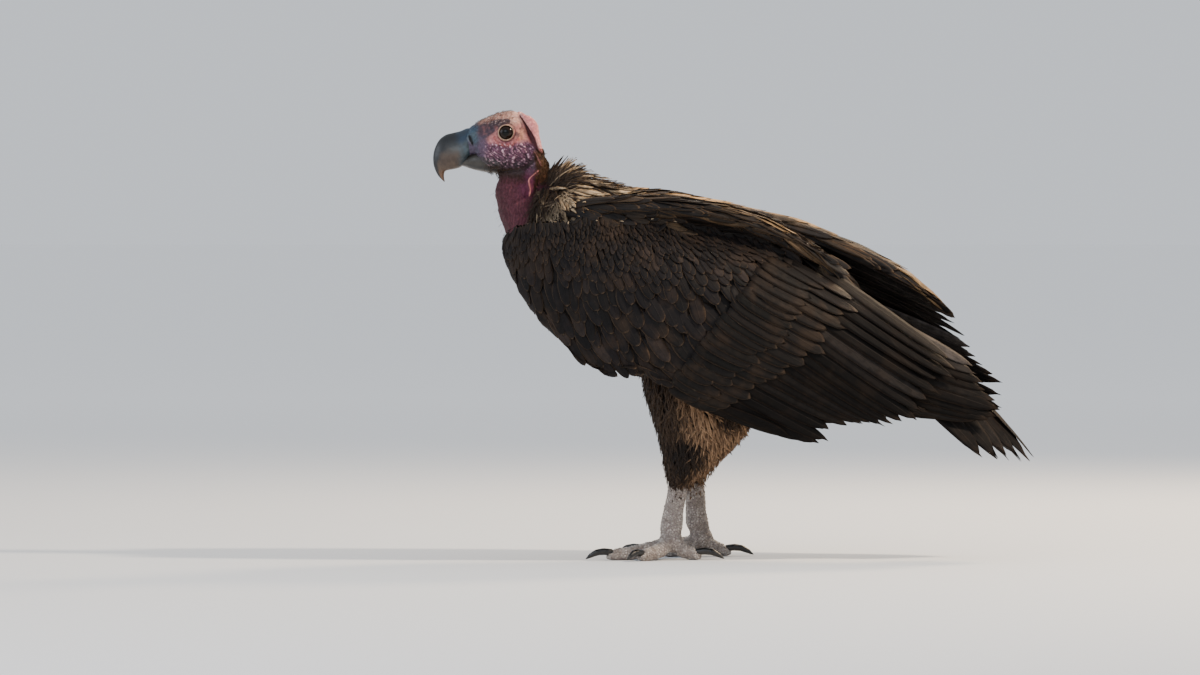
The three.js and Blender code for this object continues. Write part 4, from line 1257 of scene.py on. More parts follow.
def coat(name, wanted, material, *, seed, tries, length, half, gap, heading, rows,
         outline, rise, steps=6, ring=(VANE_ACROSS, VANE_UNDER), roll=0.0, spread=0.10, fray=0.06,
         tone=None, reach=30, cup=0.08, thick=0.4, stray=0.5, overhang=0.22):
    """Scatters roots over the wanted faces and lays one vane from each. Lengths, half widths,
    gaps and the rise at root and tip are in millimetres."""
    draw = np.random.default_rng(seed)
    spots, facing, flat = area_places(form_points, form_faces, form_flat, wanted, tries, draw)
    kept = spaced(spots, per_root(gap, spots) * MM)
    kept = kept[uncovered(spots[kept], facing[kept], reach * MM)]
    spots, facing, flat = spots[kept], facing[kept], flat[kept]
    lengths = per_root(length, spots) * draw.uniform(*LENGTHS_VARY, len(spots)) * MM
    ahead = heading(spots)
    ahead = unit(ahead - (ahead * facing).sum(1, keepdims=True) * facing)
    turn = draw.normal(0, spread, len(spots))[:, None]
    ahead = ahead * np.cos(turn) + np.cross(facing, ahead) * np.sin(turn)
    lines, normals = laid_lines(form_tree, spots, ahead, lengths, steps)
    chord = unit(lines[:, -1] - lines[:, 0])
    straight = (chord * ahead).sum(1) > stray
    beyond = np.array([form_tree.find_nearest(tip)[3] for tip in lines[:, -1]])
    straight &= beyond < np.maximum(overhang * lengths, LEAST_OVERHANG)
    straight &= np.abs(lines[:, :, 1]).max(1) < WIDEST
    spots, flat = spots[straight], flat[straight]
    lines, normals = at_rows(lines[straight], rows), at_rows(normals[straight], rows)
    low, high = per_root(rise[0], spots), per_root(rise[1], spots)
    lifted = low[:, None] + (high - low)[:, None] * rows[None] ** rise[2]
    lifted = (lifted + draw.normal(0, RISE_VARIES, len(spots))[:, None]) * MM
    halves = per_root(half, spots) * MM * draw.uniform(*HALVES_VARY, len(spots))
    rolled = roll * np.sign(spots[:, 1]) + draw.normal(0, ROLL_VARIES, len(spots))
    vane_points, vane_faces = vanes(lines, normals, halves, outline, lifted, ring=ring, cup=cup,
                                    roll=rolled, thick=thick * MM, fray=fray, draw=draw)
    tones = draw.random(len(spots)) ** 12 * 0.7      # only a few feathers are paler
    if tone is not None:
        tones = np.clip(tone(spots) + 0.15 * tones, 0, 1)
    return feather_piece(name, vane_points, vane_faces, rows, material, flat,
                         draw.random(len(spots)), tones, ring[0])


for name, side in SIDES.items():
    low, high = box_of([f"wing_{part}_{name}" for part in ("hand", "arm", "coverts")])

    def front_edge(spots):
        back, up = share_of(spots, low, high)
        return smoothstep(0.30, 0.05, back - 0.55 * (0.8 - up)) * smoothstep(0.85, 0.6, up)

    def covert_length(spots):
        back, up = share_of(spots, low, high)
        plain = 21 + 38 * smoothstep(0.97, 0.42, up) + 10 * smoothstep(0.5, 1.0, back)
        return plain + (54 - plain) * front_edge(spots)

    def covert_half(spots):
        up = share_of(spots, low, high)[1]
        share = 0.13 + 0.11 * smoothstep(0.96, 0.60, up) - 0.08 * front_edge(spots)
        return share * covert_length(spots)

    def covert_gap(spots):
        length = covert_length(spots)
        return (0.15 + 0.09 * (length > 45)) * length + 0.42 * covert_half(spots)

    wanted = (face_part == part_index["wing"]) & (face_middles[:, 1] * side > 0)
    coat(
        f"wing_covert_vanes_{name}", wanted, covert_material,
        seed=11 + side, tries=24000, length=covert_length, half=covert_half,
        gap=covert_gap, heading=lambda spots: lie_at(spots, low, high, WING_LIE),
        rows=VANE_ROWS, outline=ROUND_TIP, rise=(-2.6, 0.7, 1.2),
        roll=0.07, stray=0.6, overhang=0.34, reach=14,
    )

# ---- Flight feathers and greater coverts ----
# Long stiff feathers of the folded wing, each a single worn vane on a pale shaft. They lie like
# roof tiles with the innermost on top, and the two rows of greater coverts lie over their roots.
QUILL_ROWS = np.array([0, 0.10, 0.25, 0.42, 0.58, 0.72, 0.82, 0.90, 0.955, 1.0])
WORN_TIP = np.array([0.45, 0.75, 0.95, 1.0, 0.99, 0.92, 0.79, 0.60, 0.36, 0.05])
STRIP_LENGTH = 0.9

quill_material = feather_material("quill_vanes", "#060505", "#0e0b0a", "#5e5854", "#33281f", "#2b2622",
                                  barbs=90.0, edge_share=0.4, shaft_share=0.4, roughness=(0.62, 0.85),
                                  gloss=0.10, tone_from=0.15, dust=0.04)

greater_material = feather_material("greater_vanes", "#0a0908", "#161210", "#3a3029", "#4b3c2e", "#070605",
                                    barbs=60.0, edge_share=0.38, gloss=0.14)

# Where the feathers of each fan end, from the innermost down, as shares of the box of its first
# node. The right wing's lie a little higher.
SECONDARY_TIPS = {
    "left": [
        (0.97, 0.43), (1.0, 0.34), (0.96, 0.27), (0.91, 0.20), (0.85, 0.13), (0.80, 0.09),
        (0.73, 0.085), (0.66, 0.105), (0.58, 0.09), (0.535, 0.0), (0.465, 0.0), (0.39, 0.03),
    ],
    "right": [
        (1.0, 0.50), (0.99, 0.42), (0.95, 0.33), (0.89, 0.24), (0.83, 0.17), (0.77, 0.12),
        (0.71, 0.10), (0.63, 0.095), (0.565, 0.075), (0.515, 0.015), (0.445, 0.0), (0.375, 0.02),
    ],
}
PRIMARY_TIPS = {
    "left": [(0.88, 0.44), (0.94, 0.29), (0.985, 0.155), (1.0, 0.02), (0.915, 0.0), (0.73, 0.07)],
    "right": [(0.865, 0.56), (0.92, 0.40), (0.985, 0.27), (1.0, 0.05), (0.91, 0.0), (0.72, 0.065)],
}
INNER_TIPS = {"right": [(0.90, 0.655), (0.95, 0.58), (0.985, 0.50), (0.97, 0.43), (0.93, 0.36)]}
WITH_COVERTS = ("secondaries", "wing_coverts")
# Each fan of one wing: its nodes, the upper and the lower end of its root line in the first node's
# box, its tips, the share of the way to them that it reaches, then count, half width and lift.
FANS = {
    "primary": (("primaries",), (0.34, 1.0), (0.0, 0.28), PRIMARY_TIPS, 1.0, 11, 15, 0.5),
    "secondary": (WITH_COVERTS, (0.43, 1.0), (0.0, 0.24), SECONDARY_TIPS, 1.0, 19, 14, 1.5),
    "inner": (WITH_COVERTS, (0.47, 0.97), (0.30, 0.80), INNER_TIPS, 1.0, 8, 19, 0.3),
    "greater": (WITH_COVERTS, (0.37, 0.98), (-0.01, 0.25), SECONDARY_TIPS, 0.42, 18, 13, 3.0),
    "median": (WITH_COVERTS, (0.31, 0.98), (-0.05, 0.29), SECONDARY_TIPS, 0.29, 21, 11.5, 4.2),
}
BEYOND_EDGE = 14 * MM      # a feather beyond the fan's edge takes its depth from the edge
SIGHTINGS = 40             # places along a feather where the fan under it is felt
SEEN_FROM = 0.4            # out beyond the wing, from where its fan is felt
WING_DEPTH = 0.12          # about where the folded wing lies, beside the middle plane
DEPTH_SLACK = 2 * MM       # a feather stays this close to the depths that were felt
LEAST_OUTWARD = 0.5        # of a feather's normal
PALE_FEATHERS = (0.60, 0.20)     # tones of the innermost primaries, which are worn pale
QUILL_THICKNESS = 0.9 * MM
ROOT_SCATTER = 1.5 * MM
LONG_SCATTER, SHORT_SCATTER = 4 * MM, 9 * MM      # unevenness of the tips


def strips(count):
    """One strip of the bake map for each feather, side by side."""
    return np.stack([(np.arange(count) + 0.5) / count, np.full(count, 0.5)], 1), (0.8 / count, STRIP_LENGTH)


def fan_lines(tree, side, roots, tips, lift):
    """Lines over a folded fan as it lies seen from outside, from each root to its tip."""
    lines = np.empty((len(roots), len(QUILL_ROWS), 3))
    normals = np.empty_like(lines)
    for i, (root, tip) in enumerate(zip(roots, tips)):
        found, depths, facings = [], [], []
        for along in np.linspace(0, 1, SIGHTINGS):
            x, z = root + (tip - root) * along
            place, facing, _, _ = tree.ray_cast(Vector((x, side * SEEN_FROM, z)), Vector((0, -side, 0)))
            if place is None:
                place, facing, _, gap = tree.find_nearest(Vector((x, side * WING_DEPTH, z)))
                if math.hypot(place.x - x, place.z - z) > BEYOND_EDGE:
                    continue
            found.append(along)
            depths.append(place.y)
            facings.append(facing)
        bend = np.polyfit(found, depths, 2)
        lines[i, :, [0, 2]] = root[:, None] + (tip - root)[:, None] * QUILL_ROWS
        depth = np.polyval(bend, np.clip(QUILL_ROWS, found[0], found[-1]))
        depth = np.clip(depth, min(depths) - DEPTH_SLACK, max(depths) + DEPTH_SLACK)
        lines[i, :, 1] = depth + side * lift * MM
        normal = np.mean(facings, axis=0)
        normal[1] = side * max(abs(normal[1]), LEAST_OUTWARD)
        normals[i] = normal / np.linalg.norm(normal)
    return lines, normals


def spread_tips(tips, share):
    """Tips at any number of places along a fan that is described by a few."""
    places = np.linspace(0, 1, len(tips))
    return np.stack([np.interp(share, places, column) for column in np.array(tips).T], 1)


for name, side in SIDES.items():
    draw = np.random.default_rng(31 + side)
    for fan, (nodes, upper_root, lower_root, tips, part, count, half, lift) in FANS.items():
        if name not in tips:
            continue
        low, high = (np.array(v)[[0, 2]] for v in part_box(f"{nodes[0]}_{name}"))
        tree = tree_of([f"{cad_node}_{name}" for cad_node in nodes])
        share = (np.arange(count) + 0.15) / (count - 0.7)
        roots = np.array(upper_root) + share[:, None] * (np.array(lower_root) - np.array(upper_root))
        ends = roots + part * (spread_tips(tips[name], share) - roots)
        roots, ends = low + roots * (high - low), low + ends * (high - low)
        roots += draw.normal(0, ROOT_SCATTER, (count, 2))
        scatter = LONG_SCATTER if part == 1.0 else SHORT_SCATTER
        ends += unit(ends - roots) * draw.normal(0, scatter, (count, 1))
        lines, normals = fan_lines(tree, side, roots, ends, lift)
        rise = np.tile((-1.5 + 1.5 * QUILL_ROWS) * MM, (count, 1))
        points, faces = vanes(lines, normals, half * MM * draw.uniform(0.9, 1.1, count), WORN_TIP, rise,
                              roll=side * 0.13 + draw.normal(0, 0.02, count),
                              thick=QUILL_THICKNESS, fray=0.06, cup=0.05, draw=draw)
        flat, patch = strips(count)
        tone = draw.random(count) ** 8 * 0.15
        if fan == "primary":
            tone[:len(PALE_FEATHERS)] = PALE_FEATHERS
        material = quill_material if part == 1.0 else greater_material
        piece = feather_piece(f"{fan}_feathers_{name}", points, faces, QUILL_ROWS, material, flat,
                              draw.random(count), tone, patch=patch)
        if fan in ("primary", "secondary"):
            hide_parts(f"{nodes[0]}_{name}")

# ---- Tail ----
# Twelve stiff feathers side by side with their shafts in the root of the tail, the middle pair on
# top and longest. Their tips are worn to spikes.
TAIL_COUNT = 12
ROOT_SPREAD = 34 * MM
TAIL_SPREAD = 84 * MM
TAIL_ROOT = 6 * MM         # the roots begin this far inside the box
TAIL_TIP = 5 * MM          # and the middle pair ends this far past it
OUTER_SHORTENING = 80 * MM
TIP_DROOP = 12 * MM
TAIL_STACK = 2.4           # the middle pair lies this many millimetres over the outermost
TAIL_HALF = 19 * MM

low, high = (np.array(v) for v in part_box("tail"))
tail_tree = tree_of(["tail"])
draw = np.random.default_rng(47)
fanned = np.linspace(-1, 1, TAIL_COUNT)
tail_lines = np.empty((TAIL_COUNT, len(QUILL_ROWS), 3))
tail_normals = np.empty_like(tail_lines)
for i, a in enumerate(fanned):
    tip_x = high[0] - OUTER_SHORTENING * abs(a) ** 1.6 + TAIL_TIP + draw.normal(0, 2) * MM
    x = low[0] + TAIL_ROOT + QUILL_ROWS * (tip_x - low[0] - TAIL_ROOT)
    y = a * (ROOT_SPREAD + QUILL_ROWS * (TAIL_SPREAD - ROOT_SPREAD))
    found, heights, facings = [], [], []
    for u, v, w in zip(QUILL_ROWS, x, y):
        place, facing, _, _ = tail_tree.ray_cast(Vector((v, w, 1.0)), Vector((0, 0, -1)))
        if place is not None:
            found.append(u)
            heights.append(place.z)
            facings.append(facing)
    bend = np.polyfit(found, heights, 2)
    height = np.polyval(bend, QUILL_ROWS) + (TAIL_STACK - TAIL_STACK * abs(a)) * MM
    height = height - TIP_DROOP * QUILL_ROWS ** 4
    tail_lines[i] = np.stack([x, y, height], 1)
    tail_normals[i] = unit(np.mean(facings, axis=0))
rise = np.tile((QUILL_ROWS - 1.0) * MM, (TAIL_COUNT, 1))
halves = TAIL_HALF * draw.uniform(0.92, 1.08, TAIL_COUNT)
points, faces = vanes(tail_lines, tail_normals, halves, WORN_TIP, rise, roll=-0.10 * np.sign(fanned),
                      thick=1.0 * MM, fray=0.08, cup=0.05, draw=draw)
flat, patch = strips(TAIL_COUNT)
tint = draw.random(TAIL_COUNT)
tone = draw.random(TAIL_COUNT) ** 4 * 0.25
tail = feather_piece("tail_feathers", points, faces, QUILL_ROWS, quill_material, flat, tint, tone,
                     patch=patch)
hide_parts("tail")

# ---- Scapulars and back ----
# Long pointed feathers over the shoulders that lie along the back, buff along their edges, with
# shorter ones between them on the back and longer ones over the root of the tail.
POINTED_TIP = np.array([0.30, 0.72, 0.95, 1.0, 0.93, 0.76, 0.52, 0.26, 0.05])
scapular_material = feather_material(
    "scapular_vanes", "#0c0b0c", "#1c1817", "#dab07b", "#a8825a", "#0d0908",
    edge_share=0.6, plain_edge=0.13, barbs=60.0,
)


def back_angle(spots):
    """The lie of the back's feathers in the side view, in degrees."""
    return -12 - 24 * smoothstep(-0.20, 0.26, spots[:, 0])


def scapular_length(spots):
    return 70 + 65 * smoothstep(-0.22, 0.12, spots[:, 0])


# Pale places in the side view, backward and up in metres: the line of buff edges along the back,
# the one on the far shoulder's long feathers, and two spots behind the ruff with their radius. Each
# is partly pale feathers and partly painted sunlight on the top of the back.
BACK_BUFF_AND_SUNLIGHT = ((-0.075, 0.552), (0.0, 0.537), (0.06, 0.518), (0.12, 0.502))
FAR_BUFF_AND_SUNLIGHT = ((0.175, 0.474), (0.235, 0.440), (0.285, 0.404))
PALE_SPOTS = ((-0.221, 0.555, 11), (-0.180, 0.553, 11), (-0.162, 0.549, 9))


def from_line(spots, line):
    """Distance in millimetres from a line in the side view."""
    flat, best = spots[:, [0, 2]], np.full(len(spots), np.inf)
    for start, end in zip(np.array(line), np.array(line[1:])):
        along = end - start
        t = np.clip(((flat - start) @ along) / (along @ along), 0, 1)
        best = np.minimum(best, np.linalg.norm(flat - start - t[:, None] * along, axis=1) / MM)
    return best


def pale_spots(spots, ahead):
    """How pale a feather is whose middle lies this far behind its root."""
    back, up = spots[:, 0] + ahead, spots[:, 2] - 0.2 * ahead
    return np.max([
        smoothstep(r + 3, r - 4, np.hypot(back - a, up - b) / MM) for a, b, r in PALE_SPOTS
    ], axis=0)


def buff_and_sunlit_marks(spots):
    """Buff edges in lines and spots near the top of the back, partly painted sunlight, and a few scattered
    feathers.
    """
    middle = spots + 0.45 * MM * scapular_length(spots)[:, None] * side_heading(back_angle(spots))
    # Partly painted sunlight: buff along the top of the back and on the far shoulder's long feathers.
    marks = smoothstep(16, 9, from_line(middle, BACK_BUFF_AND_SUNLIGHT))
    marks = np.maximum(marks, 0.4 * smoothstep(9, 4, from_line(middle, FAR_BUFF_AND_SUNLIGHT)))
    marks = np.maximum(marks, pale_spots(spots, 30 * MM))
    patchy = smoothstep(0.16, 0.42, field(spots / MM, 17.0, 7, 1)) * smoothstep(0.12, 0.0, spots[:, 0])
    return np.maximum(marks, 0.25 * patchy * smoothstep(0.075, 0.035, np.abs(spots[:, 1])))


for name, side in SIDES.items():
    wanted = (face_part == part_index["scapulars"]) & (face_middles[:, 1] * side > 0)
    piece = coat(
        f"scapular_vanes_{name}", wanted, scapular_material,
        seed=61 + side, tries=9000, length=scapular_length,
        half=lambda spots: 7.5 + 0.02 * scapular_length(spots),
        gap=lambda spots: 0.13 * scapular_length(spots),
        heading=lambda spots: side_heading(back_angle(spots)),
        rows=VANE_ROWS, outline=POINTED_TIP, rise=(-4.0, 1.2, 1.2), steps=8, roll=0.08, spread=0.07,
        reach=24, tone=buff_and_sunlit_marks,
    )
    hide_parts(f"scapulars_{name}")

on_back = (face_normals[:, 2] > 0.15) & (face_middles[:, 0] > -0.22)
coat(
    "back_vanes", (face_part == part_index["trunk"]) & on_back, scapular_material,
    seed=71, tries=6000, length=lambda spots: 54 + 22 * smoothstep(0.0, 0.18, spots[:, 0]), half=10,
    gap=13, heading=lambda spots: side_heading(back_angle(spots) - 4),
    rows=VANE_ROWS, outline=POINTED_TIP, rise=(-4.0, 1.5, 1.2), spread=0.14, reach=24, tone=buff_and_sunlit_marks,
)

# ---- Breast and belly ----
# Narrow loose feathers over down, rooted in the skin of the trunk and round the neck's root. They
# point down the breast and back under the belly.
NECK_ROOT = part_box("neck")[0].z + 36 * MM      # the breast's feathers begin round the neck's root
wanted = (face_part == part_index["trunk"]) & ~on_back
on_neck_root = (face_middles[:, 2] < NECK_ROOT) & (face_middles[:, 0] < -0.29)
wanted |= (face_part == part_index["neck"]) & on_neck_root
breast_material = feather_material(
    "breast_vanes", "#15100d", "#2b2019", "#5d4a39", "#6a4e35", "#100c09", edge_share=0.5,
)
coat(
    "breast_vanes", wanted, breast_material,
    seed=81, tries=12000, half=8, gap=11.5,
    length=lambda spots: 46 - 20 * smoothstep(-0.012, 0.004, spots[:, 2] - NECK_ROOT),
    heading=lambda spots: side_heading(-75 + 50 * smoothstep(-0.30, -0.12, spots[:, 0])),
    rows=VANE_ROWS, outline=POINTED_TIP, rise=(-4.0, 2.0, 1.2), spread=0.18, reach=24,
)

# ---- Ruff ----
# A collar of narrow pointed feathers behind the bare neck. The upper ones stand up and back, the
# lower ones hang. Pale down shows between them beside the neck.
LANCE_ROWS = np.array([0, 0.2, 0.42, 0.62, 0.78, 0.9, 1.0])
LANCE_TIP = np.array([0.5, 0.9, 1.0, 0.85, 0.6, 0.32, 0.04])
TUFT_ROWS = np.array([0, 0.25, 0.55, 0.82, 1.0])
TUFT_TIP = np.array([0.6, 1.0, 0.9, 0.5, 0.04])
SLIM_RING = (np.array([-1, 0, 1, 0]), np.array([0, 0, 0, 1]))
RUFF_LIE = [
    (0.0, 0.2, -78), (0.3, 0.1, -55), (0.8, 0.1, -28), (0.05, 0.62, -70), (0.12, 0.90, 76),
    (0.28, 0.97, 60), (0.47, 1.0, 2), (0.75, 0.85, -14), (1.0, 0.6, -16), (0.35, 0.5, -58),
    (0.70, 0.5, -28),
]
ruff_low, ruff_high = (np.array(v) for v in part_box("ruff"))


def ruff_heading(spots):
    return lie_at(spots, ruff_low, ruff_high, RUFF_LIE)


def ruff_up(spots):
    """How far the feathers stand up: only along the top of the collar, next to the neck."""
    back, up = share_of(spots, ruff_low, ruff_high)
    return smoothstep(0.62, 0.95, up) * smoothstep(0.44, 0.20, back)


ruff_material = feather_material("ruff_vanes", "#120c0a", "#2b1e17", "#dcc29d", "#b18a5c", "#120c09",
                                 edge_share=0.9, plain_edge=0.35)
down_material = feather_material("neck_down", "#1a1310", "#54473e", "#d6bf9f", "#85745f", "#3d332c",
                                 edge_share=0.4, shaft_share=0.1)
BUFF_STREAK = ((-0.254, 0.554), (-0.286, 0.514))      # beside the neck, backward and up in metres
is_ruff = face_part == part_index["ruff"]


def ruff_tone(spots):
    """Pale beside the neck and in spots, and about one feather in three elsewhere."""
    # The pale spots are partly pale feathers and partly painted sunlight.
    marked = np.maximum(smoothstep(8, 3, from_line(spots, BUFF_STREAK)), pale_spots(spots, 20 * MM))
    return np.maximum(marked, 0.85 * smoothstep(0.10, 0.30, field(spots / MM, 5.0, 93, 1)))


coat(
    "ruff_vanes", is_ruff, ruff_material,
    seed=91, tries=9000, length=lambda spots: 46 - 14 * ruff_up(spots), half=4.2, gap=6.5,
    heading=ruff_heading, rows=LANCE_ROWS, outline=LANCE_TIP,
    rise=(-9.0, lambda spots: 0.5 + 16 * ruff_up(spots), 1.4),
    ring=SLIM_RING, spread=0.25, reach=20, cup=0.2, thick=0.5, stray=0.2, tone=ruff_tone,
)
in_front = is_ruff & (face_middles[:, 0] < ruff_low[0] + 0.062)
coat(
    "neck_down", in_front, down_material,
    seed=95, tries=16000, length=20, half=0.6, gap=2.3, heading=ruff_heading,
    rows=TUFT_ROWS, outline=TUFT_TIP, rise=(-8.0, 3.0, 1.2), ring=SLIM_RING, spread=0.55,
    reach=8, cup=0.2, thick=0.3, stray=0.0,
    tone=lambda spots: smoothstep(10, 4, from_line(spots, BUFF_STREAK)),
)

# White down shows in specks along the wing's upper edge.
for name, side in SIDES.items():
    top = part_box(f"wing_arm_{name}")[1].z
    edge = (face_part == part_index["wing"]) & (face_middles[:, 1] * side > 0)
    edge &= face_middles[:, 2] > top - 12 * MM
    edge &= (face_middles[:, 0] > -0.27) & (face_middles[:, 0] < -0.02)
    coat(
        f"wing_edge_down_{name}", edge, down_material,
        seed=97 + side, tries=300, length=7, half=1.1, gap=20, heading=ruff_heading,
        rows=LANCE_ROWS, outline=LANCE_TIP, rise=(-1.0, 3.0, 1.2), ring=SLIM_RING, spread=1.2,
        reach=5, cup=0.2, thick=0.4, stray=-1.0, tone=lambda spots: np.full(len(spots), 0.8),
    )

# ---- Loose downy trousers: thousands of fine tufts that hang down the thighs, tan with dark patches, ----
# and darker at the front with painted shade.
# Loose downy trousers: thousands of fine tufts that hang down the thighs, tan with dark patches.
# They stand out more at the back, and end above the bare shanks.
thigh_material = feather_material("thigh_down", "#59412f", "#b5906d", "#18110e", "#c3a184", "#3a2a1e",
                                  edge_share=0.15, plain_edge=0.35, shaft_share=0.1, least_tone=1.0)

for name, side in SIDES.items():
    low, high = (np.array(v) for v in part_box(f"thigh_{name}"))

    def thigh_patches_and_shade(spots):
        back, up = share_of(spots, low, high)
        # Painted shade: the front of the thigh is darker.
        front = smoothstep(0.34, 0.16, back - 0.15 * (1 - up))
        blob = smoothstep(0.20, 0.11, np.hypot(back - 0.32, (up - 0.24) * 1.05))
        patch = smoothstep(0.13, 0.06, np.hypot(back - 0.64, up - 0.52))
        return np.maximum(np.maximum(0.9 * front, blob), 0.9 * patch)

    def thigh_heading(spots):
        return side_heading(-82 + 26 * smoothstep(0.4, 0.9, share_of(spots, low, high)[0]))

    def thigh_rise(spots):
        return 1.5 + 10 * share_of(spots, low, high)[0] ** 2

    wanted = (face_part == part_index["thigh"]) & (face_middles[:, 1] * side > 0)
    coat(
        f"thigh_tufts_{name}", wanted, thigh_material,
        seed=101 + side, tries=40000, length=28, half=1.9, gap=3.7, heading=thigh_heading,
        rows=TUFT_ROWS, outline=TUFT_TIP, rise=(-4.0, thigh_rise, 1.5), steps=4, ring=SLIM_RING,
        spread=0.42, reach=24, cup=0.2, thick=0.4, tone=thigh_patches_and_shade, stray=0.2,
    )

# ---- Bristles ----
# Short stiff hairs on the bare head: dark on the forehead and the chin, brown stubble on the nape.
HAIR_RING = (np.array([-1, 1, 0]), np.array([0, 0, 1]))
HAIR_ROWS = np.array([0, 0.4, 0.75, 1.0])
HAIR_TIP = np.array([1.0, 0.9, 0.6, 0.1])
bristle_material = feather_material("bristles", "#1a1210", "#43301f", "#9a6a3e", "#5c4431", "#221812",
                                    edge_share=0.0, shaft_share=0.0)


def socket(sockets, name):
    """The one in use of the sockets with this name."""
    return next(s for s in sockets if s.name == name and s.enabled)


def named(group, name, kind):
    made = node(group, "GeometryNodeInputNamedAttribute", data_type=kind)
    made.inputs["Name"].default_value = name
    return made.outputs["Attribute"]


def drawn_number(group, low, high, seed):
    """A random value from low to high, which are sockets or numbers."""
    made = node(group, "FunctionNodeRandomValue", data_type="FLOAT")
    for label, value in (("Min", low), ("Max", high), ("Seed", seed)):
        feed(group, value, socket(made.inputs, label))
    return socket(made.outputs, "Value")


def stored(group, shape, name, kind, domain, value):
    made = node(group, "GeometryNodeStoreNamedAttribute", data_type=kind, domain=domain)
    made.inputs["Name"].default_value = name
    feed(group, shape, made.inputs["Geometry"])
    feed(group, value, socket(made.inputs, "Value"))
    return made.outputs["Geometry"]


def scatter_group():
    """Copies of one small part over a surface where it is wanted: a gap apart, turned along the
    surface's grain and leaning off it, each with its own shade and place on the bake map."""
    group = bpy.data.node_groups.new("scatter", "GeometryNodeTree")
    kinds = {"Surface": "Geometry", "Part": "Object", "Gap": "Float", "Lean": "Float", "Sway": "Float",
             "Smallest": "Float", "Largest": "Float", "Tone Low": "Float", "Tone High": "Float",
             "Seed": "Int", "Finish": "Material"}
    for label, kind in kinds.items():
        group.interface.new_socket(name=label, in_out="INPUT", socket_type=f"NodeSocket{kind}")
    group.interface.new_socket(name="Surface", in_out="OUTPUT", socket_type="NodeSocketGeometry")
    start, end = node(group, "NodeGroupInput"), node(group, "NodeGroupOutput")
    given = start.outputs
    seeds = [math_node(group, "ADD", given["Seed"], float(k)) for k in range(5)]

    roots = node(group, "GeometryNodeDistributePointsOnFaces", distribute_method="POISSON")
    wanted = node(group, "FunctionNodeCompare", data_type="FLOAT", operation="GREATER_THAN")
    feed(group, named(group, "wanted", "FLOAT"), socket(wanted.inputs, "A"))
    socket(wanted.inputs, "B").default_value = 0.5
    feed(group, given["Surface"], roots.inputs["Mesh"])
    feed(group, wanted.outputs["Result"], roots.inputs["Selection"])
    feed(group, given["Gap"], roots.inputs["Distance Min"])
    spacing = math_node(group, "MULTIPLY", given["Gap"], given["Gap"])
    feed(group, math_node(group, "DIVIDE", 3.0, spacing), roots.inputs["Density Max"])
    feed(group, given["Seed"], roots.inputs["Seed"])

    upright = node(group, "FunctionNodeAlignRotationToVector", axis="Z")
    feed(group, roots.outputs["Normal"], upright.inputs["Vector"])
    turned = node(group, "FunctionNodeAlignRotationToVector", axis="X", pivot_axis="Z")
    feed(group, upright.outputs["Rotation"], turned.inputs["Rotation"])
    feed(group, named(group, "grain", "FLOAT_VECTOR"), turned.inputs["Vector"])
    sway = drawn_number(group, math_node(group, "MULTIPLY", given["Sway"], -1.0), given["Sway"], seeds[1])
    angles = node(group, "ShaderNodeCombineXYZ")
    feed(group, math_node(group, "MULTIPLY", given["Lean"], -1.0), angles.inputs["Y"])
    swayed = node(group, "ShaderNodeCombineXYZ")
    feed(group, sway, swayed.inputs["Z"])
    way = turned.outputs["Rotation"]
    for angle in (swayed, angles):
        as_turn = node(group, "FunctionNodeEulerToRotation")
        feed(group, angle.outputs[0], as_turn.inputs[0])
        step = node(group, "FunctionNodeRotateRotation", rotation_space="LOCAL")
        feed(group, way, step.inputs["Rotation"])
        feed(group, as_turn.outputs[0], step.inputs["Rotate By"])
        way = step.outputs["Rotation"]

    tint = drawn_number(group, 0.0, 1.0, seeds[2])
    tone = drawn_number(group, given["Tone Low"], given["Tone High"], seeds[3])
    points = stored(group, roots.outputs["Points"], "tint", "FLOAT", "POINT", tint)
    points = stored(group, points, "tone", "FLOAT", "POINT", tone)
    part = node(group, "GeometryNodeObjectInfo")
    feed(group, given["Part"], part.inputs["Object"])
    size = node(group, "ShaderNodeVectorMath", operation="SCALE")
    feed(group, named(group, "size", "FLOAT_VECTOR"), size.inputs[0])
    feed(group, drawn_number(group, given["Smallest"], given["Largest"], seeds[4]), size.inputs["Scale"])
    copies = node(group, "GeometryNodeInstanceOnPoints")
    feed(group, points, copies.inputs["Points"])
    feed(group, part.outputs["Geometry"], copies.inputs["Instance"])
    feed(group, way, copies.inputs["Rotation"])
    feed(group, size.outputs[0], copies.inputs["Scale"])
    real = node(group, "GeometryNodeRealizeInstances")
    feed(group, copies.outputs["Instances"], real.inputs["Geometry"])

    centred = node(group, "ShaderNodeVectorMath", operation="SUBTRACT")
    feed(group, named(group, "vane", "FLOAT_VECTOR"), centred.inputs[0])
    centred.inputs[1].default_value = (0.5, 0.5, 0)
    small = node(group, "ShaderNodeVectorMath", operation="SCALE")
    feed(group, centred.outputs[0], small.inputs[0])
    small.inputs["Scale"].default_value = PATCH
    place = node(group, "ShaderNodeVectorMath", operation="ADD")
    feed(group, named(group, "unwrap", "FLOAT_VECTOR"), place.inputs[0])
    feed(group, small.outputs[0], place.inputs[1])
    shape = stored(group, real.outputs["Geometry"], "OFBake", "FLOAT2", "CORNER", place.outputs[0])
    for spent in ("unwrap", "grain", "size", "wanted"):
        drop = node(group, "GeometryNodeRemoveAttribute")
        drop.inputs["Name"].default_value = spent
        feed(group, shape, drop.inputs["Geometry"])
        shape = drop.outputs["Geometry"]
    finish = node(group, "GeometryNodeSetMaterial")
    feed(group, shape, finish.inputs["Geometry"])
    feed(group, given["Finish"], finish.inputs["Material"])
    feed(group, finish.outputs["Geometry"], end.inputs["Surface"])
    return group


SCATTER = scatter_group()


